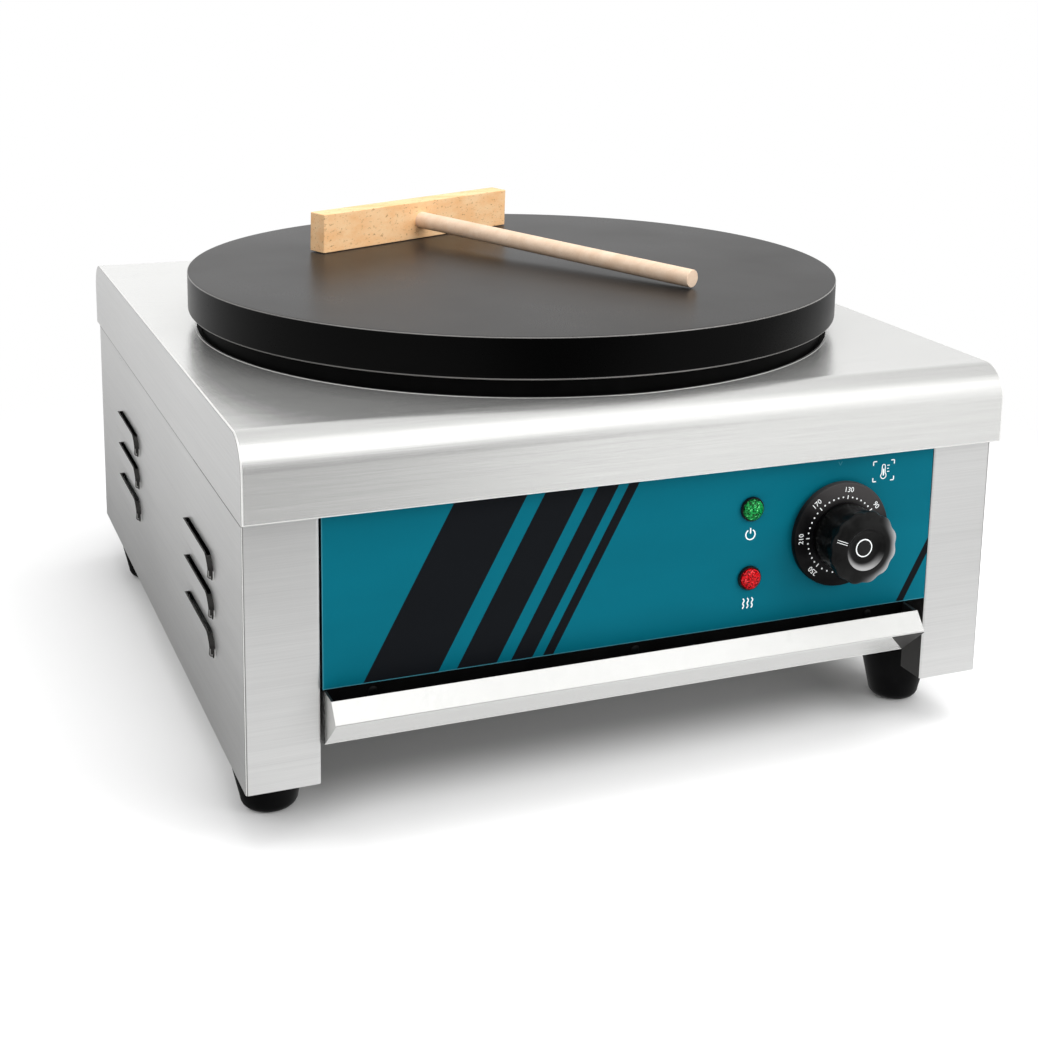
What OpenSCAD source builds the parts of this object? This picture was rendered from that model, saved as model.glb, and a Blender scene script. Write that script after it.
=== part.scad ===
// Electric crepe maker: a sheet-steel box that carries a round heated plate,
// with a thermostat and two lamps on its front, a drip drawer and a wooden spreader.
// Units are millimetres. +Z is up, the front faces -Y, and the origin lies on the
// table, midway between the outermost points of the object.

/* [Case] */
// Width over the top cover
body_w = 440; // [400:1:500]
// Depth from the faces of the front pillars to the back of the rear panel
frame_d = 462; // [440:1:520]
// Height of the side panels' lower edge above the table
leg_h = 32; // [26:1:40]
// Height from the side panels' lower edge to the top of the cover
case_h = 187.5; // [182:0.5:220]
// Thickness of the steel sheets
sheet = 1.2; // [0.8:0.1:1.6]
// Clearance between neighbouring sheets
seam = 0.3; // [0.2:0.1:0.5]

/* [Top cover] */
// Height of the cover's skirts
skirt_h = 43.5; // [36:0.5:50]
// Outer radius of the cover's front and back bends
bend_r = 18.5; // [14:0.5:24]
// How far the cover stands out over the front pillars
front_overhang = 8; // [6:0.5:12]
// How far the cover stands out over the rear panel
back_overhang = 4; // [3:0.5:8]
// Diameter of the hole under the cooking plate
hole_d = 390; // [380:1:392]
// Height of the lip drawn up around that hole
hole_lip_h = 1; // [0.5:0.5:3]

/* [Side panels] */
// Width of the front pillars
pillar_w = 38.5; // [30:0.5:46]
// Depth of the pillars' inner flange
pillar_return = 20; // [14:1:24]
// Width of the flanges that carry the rear panel
rear_flange_w = 24; // [20:1:40]
// Length of one louvre over its round ends
louvre_l = 76; // [60:1:90]
// Height of one louvre
louvre_h = 13; // [10:0.5:15]
// How far a louvre stands out
louvre_out = 4; // [3:0.5:6]
// Vertical distance between louvres
louvre_pitch = 21.8; // [20:0.2:26]
// Number of louvres in a column
louvre_rows = 3; // [2:1:3]
// Height of the upper louvre's mouth above the table
louvre_top_z = 134; // [130:0.5:142]
// Distance from the pillar faces to the middle of each column of louvres
louvre_columns_y = [108, 341];

/* [Control panel] */
// Height of the control panel's lower edge above the table
panel_z = 82.5; // [80:0.5:90]
// How far the printed sheet lies behind the pillar faces
panel_recess = 0.5; // [0:0.1:2]
// Gap between the panel and the pillars
panel_gap = 1.2; // [0.3:0.1:2]
// Thickness of the printed sheet
overlay_t = 0.5; // [0.3:0.1:1]
// Depth of the flanges around the control panel
panel_flange = 14; // [10:1:18]
// Height of the dial's centre and the middle of the lamps above the table
controls_z = 130.5; // [126:0.5:136]
// Distance of the dial's centre from the right pillar
dial_inset = 62; // [50:1:75]
// Distance of the lamps' centres from the dial's centre
lamp_offset = 55.5; // [46:0.5:68]
// Vertical distance between the two lamps
lamp_pitch = 40; // [36:1:50]
// Diameter of a lamp's bezel
lamp_bezel_d = 14; // [13:0.5:18]
// Diameter of a lamp's lens
lamp_lens_d = 12; // [10:0.2:12.4]
// Diameter of a lamp's barrel
lamp_barrel_d = 9.6; // [8:0.2:11]
// Length of a lamp's barrel
lamp_barrel_l = 26; // [20:1:32]

/* [Dial] */
// Diameter of the numbered skirt
dial_d = 61; // [54:1:66]
// Thickness of the numbered skirt
dial_t = 4; // [3:0.5:5]
// Gap between the printed sheet and the skirt
dial_gap = 1.5; // [1.5:0.5:3]
// Diameter of the knob at its front
knob_d = 42.5; // [36:0.5:46]
// Diameter of the knob where it meets the skirt
knob_base_d = 38; // [30:1:42]
// How far the knob stands in front of the skirt
knob_h = 26; // [18:1:32]
// Number of finger grooves around the knob
knob_grooves = 12; // [8:1:16]
// Diameter of the thermostat's spindle
spindle_d = 6; // [5:0.5:8]
// Radial clearance around the spindle
spindle_fit = 0.05; // [0.02:0.01:0.08]

/* [Thermostat] */
// Width and height of the thermostat body
thermostat_w = 44; // [38:1:50]
// Depth of the thermostat body
thermostat_l = 32; // [28:1:38]
// Diameter of its threaded neck
neck_d = 12; // [11:0.5:14]
// How far its threaded neck stands out of the printed sheet
neck_out = 1; // [0.4:0.2:1.2]
// Diameter of the sensing bulb
sensor_d = 6; // [5:0.5:7]
// Length of the sensing bulb
sensor_l = 90; // [70:1:110]
// Diameter of the capillary tube
capillary_d = 1.6; // [1.2:0.1:2.5]

/* [Cooking plate] */
// Diameter of the cooking plate
plate_d = 400; // [396:1:420]
// Height of the plate's rim
plate_t = 23.5; // [20:0.5:26]
// Thickness of the plate's cooking surface
plate_web = 9; // [6:0.5:11]
// Thickness of the plate's rim
plate_rim = 9; // [6:0.5:12]
// Radius of the rim's lower edge
plate_edge_r = 2; // [1:0.5:4]
// Gap between the top cover and the plate's rim
plate_gap = 10; // [8:0.5:14]
// Distance from the pillar faces to the plate's centre
plate_setback = 204.5; // [203:0.5:230]
// Number of bosses that carry the plate
boss_count = 4; // [3:1:5]
// Radius of the circle of bosses
boss_circle_r = 120; // [110:1:128]
// Diameter of a boss
boss_d = 18; // [14:1:22]

/* [Heater] */
// Diameter of the heating element's tube
element_d = 8; // [6.5:0.5:9]
// Radii of the heating element's two rings
element_rings_r = [88, 152];
// Length of the element's cold ends below the rings
element_tail = 34; // [28:1:40]
// Spacing of the element's two ends
element_end_gap = 36; // [30:1:44]
// Width of the clamp's bars
clamp_bar_w = 24; // [22:1:34]
// Thickness of the clamp's bars
clamp_t = 3; // [2:0.5:4]
// Thickness of the insulating blanket
blanket_t = 16; // [10:1:18]
// Depth of the heat pan below the top cover
pan_depth = 42; // [38:1:46]
// Radial gap between the hole's lip and the heat pan
pan_gap = 3; // [2:0.5:6]
// Width of the heat pan's flange under the cover
pan_flange = 12; // [10:0.5:14]
// Diameter of the posts that carry the plate
post_d = 12; // [10:1:16]

/* [Drawer] */
// Clearance between the drawer's free side, the right one, and the pillar
drawer_free_gap = 14; // [4:0.5:16]
// Free depth behind the drawer's tray
tray_back_gap = 80.8; // [70:0.2:160]
// Gap between the tray's rim and the chamber floor
tray_head_gap = 3; // [2:0.5:6]
// Depth of the flat top of the handle
handle_top_d = 13.5; // [10:0.5:18]
// Reach of the handle's front corner
handle_reach = 22; // [18:0.5:28]
// Drop of the handle's front corner below its top
handle_drop = 10; // [8:0.5:14]
// Height of the handle
handle_h = 29; // [26:0.5:32]
// Diameter of the rivets behind the handle
rivet_d = 5; // [4:0.5:7]
// Spacing of those rivets
rivet_pitch = 147; // [100:1:160]

/* [Runners and feet] */
// Thickness of the drawer runners
runner_t = 1.5; // [1:0.1:2.5]
// Height of the runners' lower face above the table
runner_z = 51.2; // [45:0.1:52]
// Width of the runners' flange
runner_w = 60; // [54:1:70]
// Height of the runners' web
runner_web_h = 30; // [24:1:32]
// Distance of the runners' front ends behind the pillar faces
runner_setback = 21; // [21:1:30]
// Thickness of the plates that carry the feet
foot_plate_t = 2; // [1.5:0.5:4]
// Diameter of a foot at its top, also the side of its plate
foot_top_d = 43; // [38:0.5:48]
// Height above which a foot is straight
foot_taper_h = 32; // [20:1:44]
// Diameter of a foot at the table
foot_d = 31; // [28:1:36]
// Radius of a foot's lower edge
foot_edge_r = 6; // [3:0.5:8]
// Gap between the feet's tops and the side panels' inner faces
foot_gap = 0.3; // [0.3:0.1:6]
// Distance of the feet's centres from the pillar faces and the rear panel
foot_inset_y = 50; // [45:1:70]

/* [Rear] */
// Diameter of the cord that the cable gland takes
cord_d = 9; // [6:0.5:11]
// Clearance of the cord in the gland, on the radius
cord_fit = 0.1; // [0.05:0.05:0.2]
// Outer diameter of the cable gland
gland_d = 24; // [20:1:30]
// How far the gland stands behind the rear panel
gland_reach = 16; // [12:1:24]
// Distance of the cable gland from the cover's side
gland_inset = 100; // [90:1:130]

/* [Spreader] */
// Length of the spreader's blade
blade_l = 164; // [140:1:200]
// Height of the blade
blade_h = 25; // [20:1:32]
// Thickness of the blade
blade_t = 10; // [8:0.5:14]
// Diameter of the round handle
stick_d = 11; // [9:0.5:14]
// Length of the handle in front of the blade
stick_l = 230; // [180:1:260]
// Turn of the spreader on the plate
spreader_turn = 26; // [0:1:60]
// Place of the foot of the blade, from the plate's centre
spreader_at = [-27, 106];

/* [Hidden] */
$fn = 96;

// Heights
cover_z = leg_h + case_h;
skirt_z = cover_z - skirt_h;
plate_z = cover_z + plate_gap;
plate_top_z = plate_z + plate_t;

// Distances along Y: the object's front and back ends lie equally far from the origin
knob_reach = dial_gap + dial_t + knob_h - panel_recess;
front_y = knob_reach - (knob_reach + frame_d + gland_reach) / 2;
back_y = front_y + frame_d;
panel_face_y = front_y + panel_recess;
panel_back_y = panel_face_y + overlay_t + sheet;
plate_y = front_y + plate_setback;

// Distances along X
side_x = body_w / 2 - sheet - seam;
side_in_x = side_x - sheet;
pillar_in_x = side_x - pillar_w;
dial_x = pillar_in_x - dial_inset;
lamp_x = dial_x - lamp_offset;
gland_x = body_w / 2 - gland_inset;
floor_front_y = panel_back_y + seam;
wall_back_y = back_y - 2 * sheet;
cover_front_y = front_y - front_overhang;
cover_back_y = back_y + back_overhang;
dial_back_y = panel_face_y - dial_gap;
dial_front_y = dial_back_y - dial_t;

// Heights inside the case
panel_top_z = cover_z - bend_r;
floor_z = panel_z + sheet;
floor_top_z = floor_z + sheet;
lamps_z = [controls_z + lamp_pitch / 2, controls_z - lamp_pitch / 2];

// Louvres
louvre_wall = 0.9;
louvre_cut = 0.2; // how far the opening reaches above the hood

// Fasteners and small parts
weld = 0.1; // clearance between a round part and what it lies against
screw_d = 4;
screw_fit = 0.1;
screw_hole_r = screw_d / 2 + screw_fit;
screw_end = 4; // how far a sheet-metal screw's tip stands inside
screw_head_d = 7.6;
screw_head_h = 2.4;
stud_d = 8;
stud_fit = 0.1;
stud_end = 2; // how far a stud stands out of its nut
nut_w = 15;
nut_h = 6.5;
wire_d = 3;
wire_hole_d = 9;
wire_bend = 10;
cutout_d = 18;
cutout_h = 10;
cutout_flange_t = 1.5;
cutout_pin_l = 6;
rear_screw_x = side_x - rear_flange_w / 2 - sheet;
rear_screw_margin = 14;
rear_screws_z = [leg_h + rear_screw_margin, skirt_z - rear_screw_margin];
cover_screws_x = [-body_w / 3, 0, body_w / 3];
cover_screw_rise = 12;
cover_screw_z = skirt_z + cover_screw_rise;
vent_count = 9;
vent_pitch = 14;
vent_w = 4;
vent_rise = 32;
vent_z = floor_top_z + vent_rise;
vent_h = 34;

// Plate, heater and pan
web_z = plate_top_z - plate_web;
element_z = web_z - weld - element_d / 2;
clamp_top_z = web_z - element_d - 2 * weld;
clamp_z = clamp_top_z - clamp_t;
bulb_z = web_z - weld - sensor_d / 2;
clip_margin = 3; // sheet of the clip beside the bulb
pan_r = hole_d / 2 - pan_gap;
pan_z = cover_z - pan_depth;
pan_floor_top_z = pan_z + sheet;
pan_head_gap = 2;
pan_top_z = plate_z - pan_head_gap;
pan_flange_setback = bend_r - front_overhang + seam;
blanket_gap = 1;
boss_angles = [for (i = [0:boss_count - 1]) (i + 0.5) * 360 / boss_count];
post_top_z = clamp_z - nut_h;
tail_x = element_end_gap / 2;
tail_low_z = element_z - element_tail;
socket_drop = 0.3; // how far the brazed sockets end below the top of the rings

// Thermostat and dial
neck_l = sheet + overlay_t + neck_out;
spindle_in = 20;
knob_groove_r = 5;
skirt_edge = 1;
knob_bore_l = 16;
knob_bore_room = 1; // beyond the spindle's end
knob_edge_r = 2.5;
knob_groove_depth = 1.2;
knob_groove_z = 0.6 * knob_h;
knob_dish = 3;
knob_dish_r = 13;
thermostat_screw_pitch = 28;
thermostat_screw_head_d = 7;
thermostat_screw_head_h = 0.9;
thermostat_screw_in = 6;
capillary_bend = 15;
capillary_in = 3;
capillary_x = sensor_l / 2 + capillary_bend;
capillary_z = controls_z + thermostat_w / 4;

// Lamps: the lens sits in a seat in the bezel
lamp_bezel_t = 2;
lamp_seat = 0.5;
lamp_lens_out = 4;
lamp_dome_h = 1.5;
lamp_nut_h = 4;

// Drawer
drawer_left_x = runner_t + seam - pillar_in_x;
drawer_right_x = pillar_in_x - drawer_free_gap;
drawer_half_w = (drawer_right_x - drawer_left_x) / 2;
drawer_x = (drawer_right_x + drawer_left_x) / 2;
tray_z = runner_z + runner_t + seam;
tray_top_z = panel_z - tray_head_gap;
tray_y = front_y + sheet;
tray_back_y = back_y - tray_back_gap;
handle_head_gap = 0.5;
handle_top_z = panel_z - handle_head_gap;
rivet_head_h = 1;
rivet_z = handle_top_z - rivet_d / 2 - rivet_head_h;
stop_w = 20;
stop_h = 14;
stop_x = pillar_in_x - runner_t - seam;

// Runners and feet
runner_guide_h = 16;
foot_h = runner_z - foot_plate_t;
foot_x = side_in_x - foot_top_d / 2 - foot_gap;
feet_y = [front_y + foot_inset_y, back_y - foot_inset_y];
foot_stud_depth = 20;

// Rear
gland_shank_r = gland_d / 2 - 4;
gland_shank_l = 10;
gland_cap_l = 6;
gland_cap_d = [22, 17];
gland_nut_h = 5;
gland_margin = 2;
gland_z = floor_top_z + panel_flange + gland_d / 2 + gland_margin;
terminal_w = 60;
terminal_l = 24;
terminal_h = 20;
terminal_setback = 60;
terminal_y = back_y - terminal_setback;
terminal_hole_d = 6;
terminal_hole_l = 3;
earth_gap = 27.5; // from the terminal block to the earth stud's axis
earth_x = lamp_x + terminal_w / 2 + earth_gap;
earth_stud_d = 6;
earth_stud_l = 16;
earth_washer_d = 14;
earth_washer_t = 1.5;
earth_nut_w = 11;
earth_nut_h = 5;
earth_nut_gap = 2.5;

// Spreader
stick_fit = 0.05;

// Foot of the element's cold end on a ring of radius r
function element_tail_at(r) = [-tail_x, plate_y + sqrt(r * r - tail_x * tail_x), 0];

// ---- Shared shapes ----

// Extrudes a (y, z) outline along X, centred on x = 0
module along_x(w) {
    translate([-w / 2, 0, 0]) rotate([90, 0, 90]) linear_extrude(w) children();
}

// Extrudes an (x, z) outline along +Y from y = y0
module along_y(y0, l) {
    translate([0, y0 + l, 0]) rotate([90, 0, 0]) linear_extrude(l) children();
}

// Turns local +Z to -Y, so that a part is drawn standing up and faces the front
module facing_front(x, y, z) {
    translate([x, y, z]) rotate([90, 0, 0]) children();
}

// Turns local +Z to +Y, so that a part faces the back
module facing_back(x, y, z) {
    translate([x, y, z]) rotate([-90, 0, 0]) children();
}

module block(x0, x1, y0, y1, z0, z1) {
    translate([x0, y0, z0]) cube([x1 - x0, y1 - y0, z1 - z0]);
}

module ring(r_out, r_in, h) {
    difference() {
        cylinder(h = h, r = r_out);
        translate([0, 0, -1]) cylinder(h = h + 2, r = r_in);
    }
}

module hex_nut(w, h, bore_r) {
    difference() {
        cylinder(h = h, d = w, $fn = 6);
        translate([0, 0, -1]) cylinder(h = h + 2, r = bore_r);
    }
}

// A screw whose head stands on z = 0 and whose shank goes down
module screw(head_d, head_h, shank_d, shank_l) {
    cylinder(h = head_h, d = head_d);
    translate([0, 0, -shank_l]) cylinder(h = shank_l, d = shank_d);
}

// One straight length of round rod or wire
module rod(a, b, d) {
    v = b - a;
    translate(a) rotate([0, acos(v.z / norm(v)), atan2(v.y, v.x)]) cylinder(h = norm(v), d = d);
}

// A wire along a list of points, with a slightly thicker ball at each bend
module wire(points, d) {
    for (i = [0:len(points) - 2]) rod(points[i], points[i + 1], d);
    for (i = [1:len(points) - 2]) translate(points[i]) sphere(d = d + 2 * weld);
}

module mirrored(side) {
    mirror([side < 0 ? 1 : 0, 0, 0]) children();
}

// ---- Case ----

// (y, z) outline of the cover, shrunk by an inset on its front, back and top
module cover_outline(inset, low_z) {
    y0 = cover_front_y + inset;
    y1 = cover_back_y - inset;
    r = bend_r - inset;
    mid_z = cover_z - inset - r;
    translate([y0, low_z]) square([y1 - y0, mid_z - low_z]);
    translate([y0 + r, low_z]) square([y1 - y0 - 2 * r, mid_z + r - low_z]);
    for (y = [y0 + r, y1 - r]) translate([y, mid_z]) circle(r);
}

module top_cover() {
    half_w = body_w / 2 - sheet / 2;
    color("silver") {
        difference() {
            along_x(body_w) cover_outline(0, skirt_z);
            along_x(body_w - 2 * sheet) cover_outline(sheet, skirt_z - 1);
            translate([0, plate_y, cover_z - bend_r]) cylinder(h = bend_r + 1, d = hole_d);
            for (x = cover_screws_x) facing_back(x, cover_back_y - 2 * sheet, cover_screw_z)
                cylinder(h = 3 * sheet, r = screw_hole_r);
        }
        translate([0, plate_y, cover_z - sheet]) ring(hole_d / 2 + sheet, hole_d / 2, sheet + hole_lip_h);
        // Hems under the front and back skirts
        block(-half_w, half_w, cover_front_y + sheet / 2, front_y - seam, skirt_z, skirt_z + sheet);
        block(-half_w, half_w, back_y + seam, cover_back_y - sheet / 2, skirt_z, skirt_z + sheet);
    }
}

// A louvre's pressed hood on a wall at x = 0: it stands out to +X and its mouth lies at z = 0.
// base goes into the wall, inset makes the tool that hollows it out, and grow lifts the mouth
module louvre_hood(base, inset, grow) {
    r = louvre_out - inset;
    half = louvre_l / 2 - louvre_out;
    low = louvre_out - louvre_h;
    intersection() {
        union() {
            along_y(-half, 2 * half) {
                translate([-base, low]) square([base + r, grow - low]);
                translate([0, low]) circle(r);
            }
            for (s = [-1, 1]) translate([0, s * half, low]) {
                cylinder(h = grow - low, r = r);
                sphere(r);
            }
        }
        block(-base, 2 * r, -louvre_l, louvre_l, -louvre_h, 1);
    }
}

module at_louvres() {
    for (y = louvre_columns_y, row = [0:louvre_rows - 1])
        translate([side_x, front_y + y, louvre_top_z - row * louvre_pitch]) children();
}

module side_panel(side) {
    color("silver") mirrored(side) intersection() {
        difference() {
            union() {
                block(side_in_x, side_x, front_y, back_y, leg_h, cover_z);
                block(pillar_in_x, side_x, front_y, front_y + sheet, leg_h, cover_z);
                block(pillar_in_x, pillar_in_x + sheet, front_y, front_y + pillar_return, leg_h, panel_top_z);
                block(side_x - rear_flange_w, side_x, wall_back_y, wall_back_y + sheet, leg_h, panel_top_z);
                at_louvres() louvre_hood(sheet / 2, 0, 0);
            }
            at_louvres() louvre_hood(2 * sheet, louvre_wall, louvre_cut);
            for (z = rear_screws_z) facing_back(rear_screw_x, wall_back_y - 1, z)
                cylinder(h = 3 * sheet, r = screw_hole_r);
        }
        along_x(body_w + 4 * louvre_out) cover_outline(sheet + seam, 0);
    }
}

module rear_panel() {
    slots = [for (i = [0:vent_count - 1]) (i - (vent_count - 1) / 2) * vent_pitch];
    color("silver") difference() {
        block(-side_in_x + seam, side_in_x - seam, back_y - sheet, back_y, leg_h, panel_top_z);
        for (x = slots) {
            block(x - vent_w / 2, x + vent_w / 2, back_y - 2 * sheet, back_y + sheet,
                vent_z, vent_z + vent_h);
            for (z = [vent_z, vent_z + vent_h])
                facing_back(x, back_y - 2 * sheet, z) cylinder(h = 3 * sheet, d = vent_w);
        }
        for (s = [-1, 1], z = rear_screws_z) facing_back(s * rear_screw_x, back_y - 2 * sheet, z)
            cylinder(h = 3 * sheet, r = screw_hole_r);
        for (x = cover_screws_x) facing_back(x, back_y - 2 * sheet, cover_screw_z)
            cylinder(h = 3 * sheet, r = screw_hole_r);
        facing_back(gland_x, back_y - 2 * sheet, gland_z) cylinder(h = 3 * sheet, r = gland_shank_r + seam);
    }
}

module chamber_floor() {
    front_w = pillar_in_x - panel_gap - sheet - seam;
    middle_w = side_in_x - seam;
    back_w = side_x - rear_flange_w - seam;
    middle_y = front_y + max(pillar_return, panel_recess + overlay_t + panel_flange) + seam;
    color("gainsboro") {
        block(-front_w, front_w, floor_front_y, middle_y + seam, floor_z, floor_top_z);
        block(-middle_w, middle_w, middle_y, wall_back_y - seam, floor_z, floor_top_z);
        block(-back_w, back_w, wall_back_y - 2 * seam, back_y - sheet, floor_z, floor_top_z);
        block(-back_w, back_w, wall_back_y, back_y - sheet, floor_z, floor_top_z + panel_flange);
    }
}

module control_panel() {
    half_w = pillar_in_x - panel_gap;
    y0 = panel_face_y + overlay_t;
    color("lightgray") difference() {
        union() {
            block(-half_w, half_w, y0, panel_back_y, panel_z, panel_top_z);
            block(-half_w, half_w, y0, y0 + panel_flange, panel_z, panel_z + sheet);
            for (s = [-1, 1]) mirrored(s)
                block(half_w - sheet, half_w, y0, y0 + panel_flange, panel_z, panel_top_z);
        }
        panel_holes(neck_d / 2 + seam, screw_hole_r, lamp_barrel_d / 2 + seam);
    }
}

// Holes through the control panel and its printed sheet for the dial, its screws and the lamps
module panel_holes(neck_r, screw_r, lamp_r) {
    depth = overlay_t + 2 * sheet;
    facing_front(dial_x, panel_back_y + sheet / 2, controls_z) {
        cylinder(h = depth, r = neck_r);
        for (s = [-1, 1]) translate([s * thermostat_screw_pitch / 2, 0, 0]) cylinder(h = depth, r = screw_r);
    }
    for (z = lamps_z) facing_front(lamp_x, panel_back_y + sheet / 2, z) cylinder(h = depth, r = lamp_r);
}

module panel_overlay() {
    half_w = pillar_in_x - panel_gap;
    color("teal") difference() {
        block(-half_w, half_w, panel_face_y, panel_face_y + overlay_t, panel_z, panel_top_z);
        panel_holes(neck_d / 2 + seam, thermostat_screw_head_d / 2 + seam, lamp_barrel_d / 2 + seam);
    }
}

// ---- Cooking plate and heater ----

module at_bosses() {
    for (a = boss_angles) translate([boss_circle_r * cos(a), plate_y + boss_circle_r * sin(a), 0]) children();
}

module cooking_plate() {
    color("dimgray") translate([0, plate_y, web_z]) cylinder(h = plate_web, d = plate_d);
}

// The deep rim under the edge of the plate
module plate_rim() {
    r = plate_d / 2;
    e = plate_edge_r;
    h = plate_t - plate_web;
    color("dimgray") translate([0, plate_y, plate_z]) rotate_extrude() {
        translate([r - plate_rim, 0]) square([plate_rim - e, h]);
        translate([r - e, e]) square([e, h - e]);
        translate([r - e, e]) circle(e);
    }
}

module plate_bosses() {
    color("dimgray") at_bosses() translate([0, 0, clamp_top_z])
        ring(boss_d / 2, stud_d / 2 + stud_fit, web_z - clamp_top_z);
}

module heat_pan() {
    color("dimgray") difference() {
        translate([0, plate_y, pan_z]) {
            cylinder(h = sheet, r = pan_r);
            ring(pan_r, pan_r - sheet, pan_top_z - pan_z);
        }
        at_bosses() translate([0, 0, pan_z - 1]) cylinder(h = 3 * sheet, r = stud_d / 2 + stud_fit);
        at_wire_holes() translate([0, 0, pan_z - 1]) cylinder(h = 3 * sheet, d = wire_hole_d);
    }
}

// The ring under the cover that carries the pan. It ends where the cover begins to bend
module pan_collar() {
    z = cover_z - 2 * sheet;
    color("dimgray") difference() {
        translate([0, plate_y, z]) ring(pan_r + pan_flange, pan_r + weld, sheet);
        block(-body_w, body_w, front_y - body_w, front_y + pan_flange_setback, z - 1, z + sheet + 1);
    }
}

// Where the element's wires and the capillary pass down through the pan and the blanket
module at_wire_holes() {
    for (r = element_rings_r) translate(element_tail_at(r)) children();
    translate([capillary_x, plate_y, 0]) children();
}

module insulation_blanket() {
    color("ivory") difference() {
        translate([0, plate_y, pan_floor_top_z]) cylinder(h = blanket_t, r = pan_r - sheet - blanket_gap);
        at_bosses() translate([0, 0, pan_floor_top_z - 1])
            cylinder(h = blanket_t + 2, r = post_d / 2 + seam);
        at_wire_holes() translate([0, 0, pan_floor_top_z - 1])
            cylinder(h = blanket_t + 2, d = wire_hole_d);
    }
}

module element_arc(r) {
    gap = asin(tail_x / r);
    translate([0, plate_y, element_z]) rotate([0, 0, 90 + gap])
        rotate_extrude(angle = 360 - 2 * gap) translate([r, 0]) circle(d = element_d);
}

module heating_element() {
    socket_d = element_d + 2;
    color("slategray") {
        for (r = element_rings_r, s = [0, 1]) {
            if (s == 0) element_arc(r);
            translate(element_tail_at(r) + [2 * s * tail_x, 0, element_z - element_d])
                cylinder(h = 1.5 * element_d - socket_drop, d = socket_d);
        }
        for (r = element_rings_r)
            translate(element_tail_at(r) + [0, 0, tail_low_z]) cylinder(h = element_tail, d = element_d - 1);
        rod(element_tail_at(element_rings_r[0]) + [2 * tail_x, 0, element_z],
            element_tail_at(element_rings_r[1]) + [2 * tail_x, 0, element_z], element_d - 1);
    }
}

module element_clamp() {
    reach = element_rings_r[1] + element_d;
    color("lightsteelblue") translate([0, plate_y, clamp_z]) linear_extrude(clamp_t) difference() {
        union() {
            circle(1.5 * clamp_bar_w);
            for (a = boss_angles) rotate(a) translate([clamp_bar_w / 2, -clamp_bar_w / 2])
                square([reach - clamp_bar_w / 2, clamp_bar_w]);
        }
        for (a = boss_angles) rotate(a) translate([boss_circle_r, 0]) circle(stud_d / 2 + stud_fit);
    }
}

module clamp_nuts() {
    color("silver") at_bosses() translate([0, 0, post_top_z])
        hex_nut(nut_w, nut_h, stud_d / 2 + stud_fit);
}

module plate_posts() {
    stud_z = pan_z - nut_h - stud_end;
    color("silver") at_bosses() {
        translate([0, 0, pan_floor_top_z]) cylinder(h = post_top_z - pan_floor_top_z, d = post_d);
        translate([0, 0, stud_z]) cylinder(h = web_z - weld - stud_z, d = stud_d);
    }
}

module post_nuts() {
    color("silver") at_bosses() translate([0, 0, pan_z - nut_h])
        hex_nut(nut_w, nut_h, stud_d / 2 + stud_fit);
}

module safety_cutout() {
    color("black") translate([-boss_circle_r / 2, plate_y, pan_z]) mirror([0, 0, 1]) {
        cylinder(h = cutout_flange_t, d = 1.4 * cutout_d);
        cylinder(h = cutout_h, d = cutout_d);
        for (s = [-1, 1]) translate([s * cutout_d / 4, 0, cutout_h]) cylinder(h = cutout_pin_l, d = wire_d);
    }
}

// ---- Thermostat and dial ----

module thermostat_body() {
    half = thermostat_w / 2;
    bore_l = spindle_in + 1;
    color("beige") difference() {
        union() {
            block(dial_x - half, dial_x + half, panel_back_y, panel_back_y + thermostat_l,
                controls_z - half, controls_z + half);
            facing_front(dial_x, panel_back_y, controls_z) cylinder(h = neck_l, d = neck_d);
        }
        facing_front(dial_x, panel_back_y + bore_l, controls_z)
            cylinder(h = bore_l + neck_l + 1, r = spindle_d / 2 + spindle_fit);
        at_thermostat_screws(panel_back_y + thermostat_screw_in + 1)
            cylinder(h = thermostat_screw_in + 2, r = screw_hole_r);
        facing_back(dial_x, panel_back_y + thermostat_l - capillary_in - 1, capillary_z)
            cylinder(h = capillary_in + 2, d = capillary_d + 2 * weld);
    }
}

module at_thermostat_screws(y) {
    for (s = [-1, 1]) facing_front(dial_x + s * thermostat_screw_pitch / 2, y, controls_z) children();
}

module thermostat_screws() {
    color("silver") at_thermostat_screws(panel_face_y + overlay_t)
        screw(thermostat_screw_head_d, thermostat_screw_head_h, screw_d, sheet + thermostat_screw_in);
}

module thermostat_spindle() {
    color("silver") facing_front(dial_x, panel_back_y + spindle_in, controls_z)
        cylinder(h = panel_back_y + spindle_in - dial_front_y + knob_bore_l, d = spindle_d);
}

module dial_skirt() {
    r = dial_d / 2;
    bore_r = spindle_d / 2 + spindle_fit;
    color("black") facing_front(dial_x, dial_back_y, controls_z) rotate_extrude()
        polygon([[bore_r, 0], [r, 0], [r, dial_t - skirt_edge], [r - skirt_edge, dial_t], [bore_r, dial_t]]);
}

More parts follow.
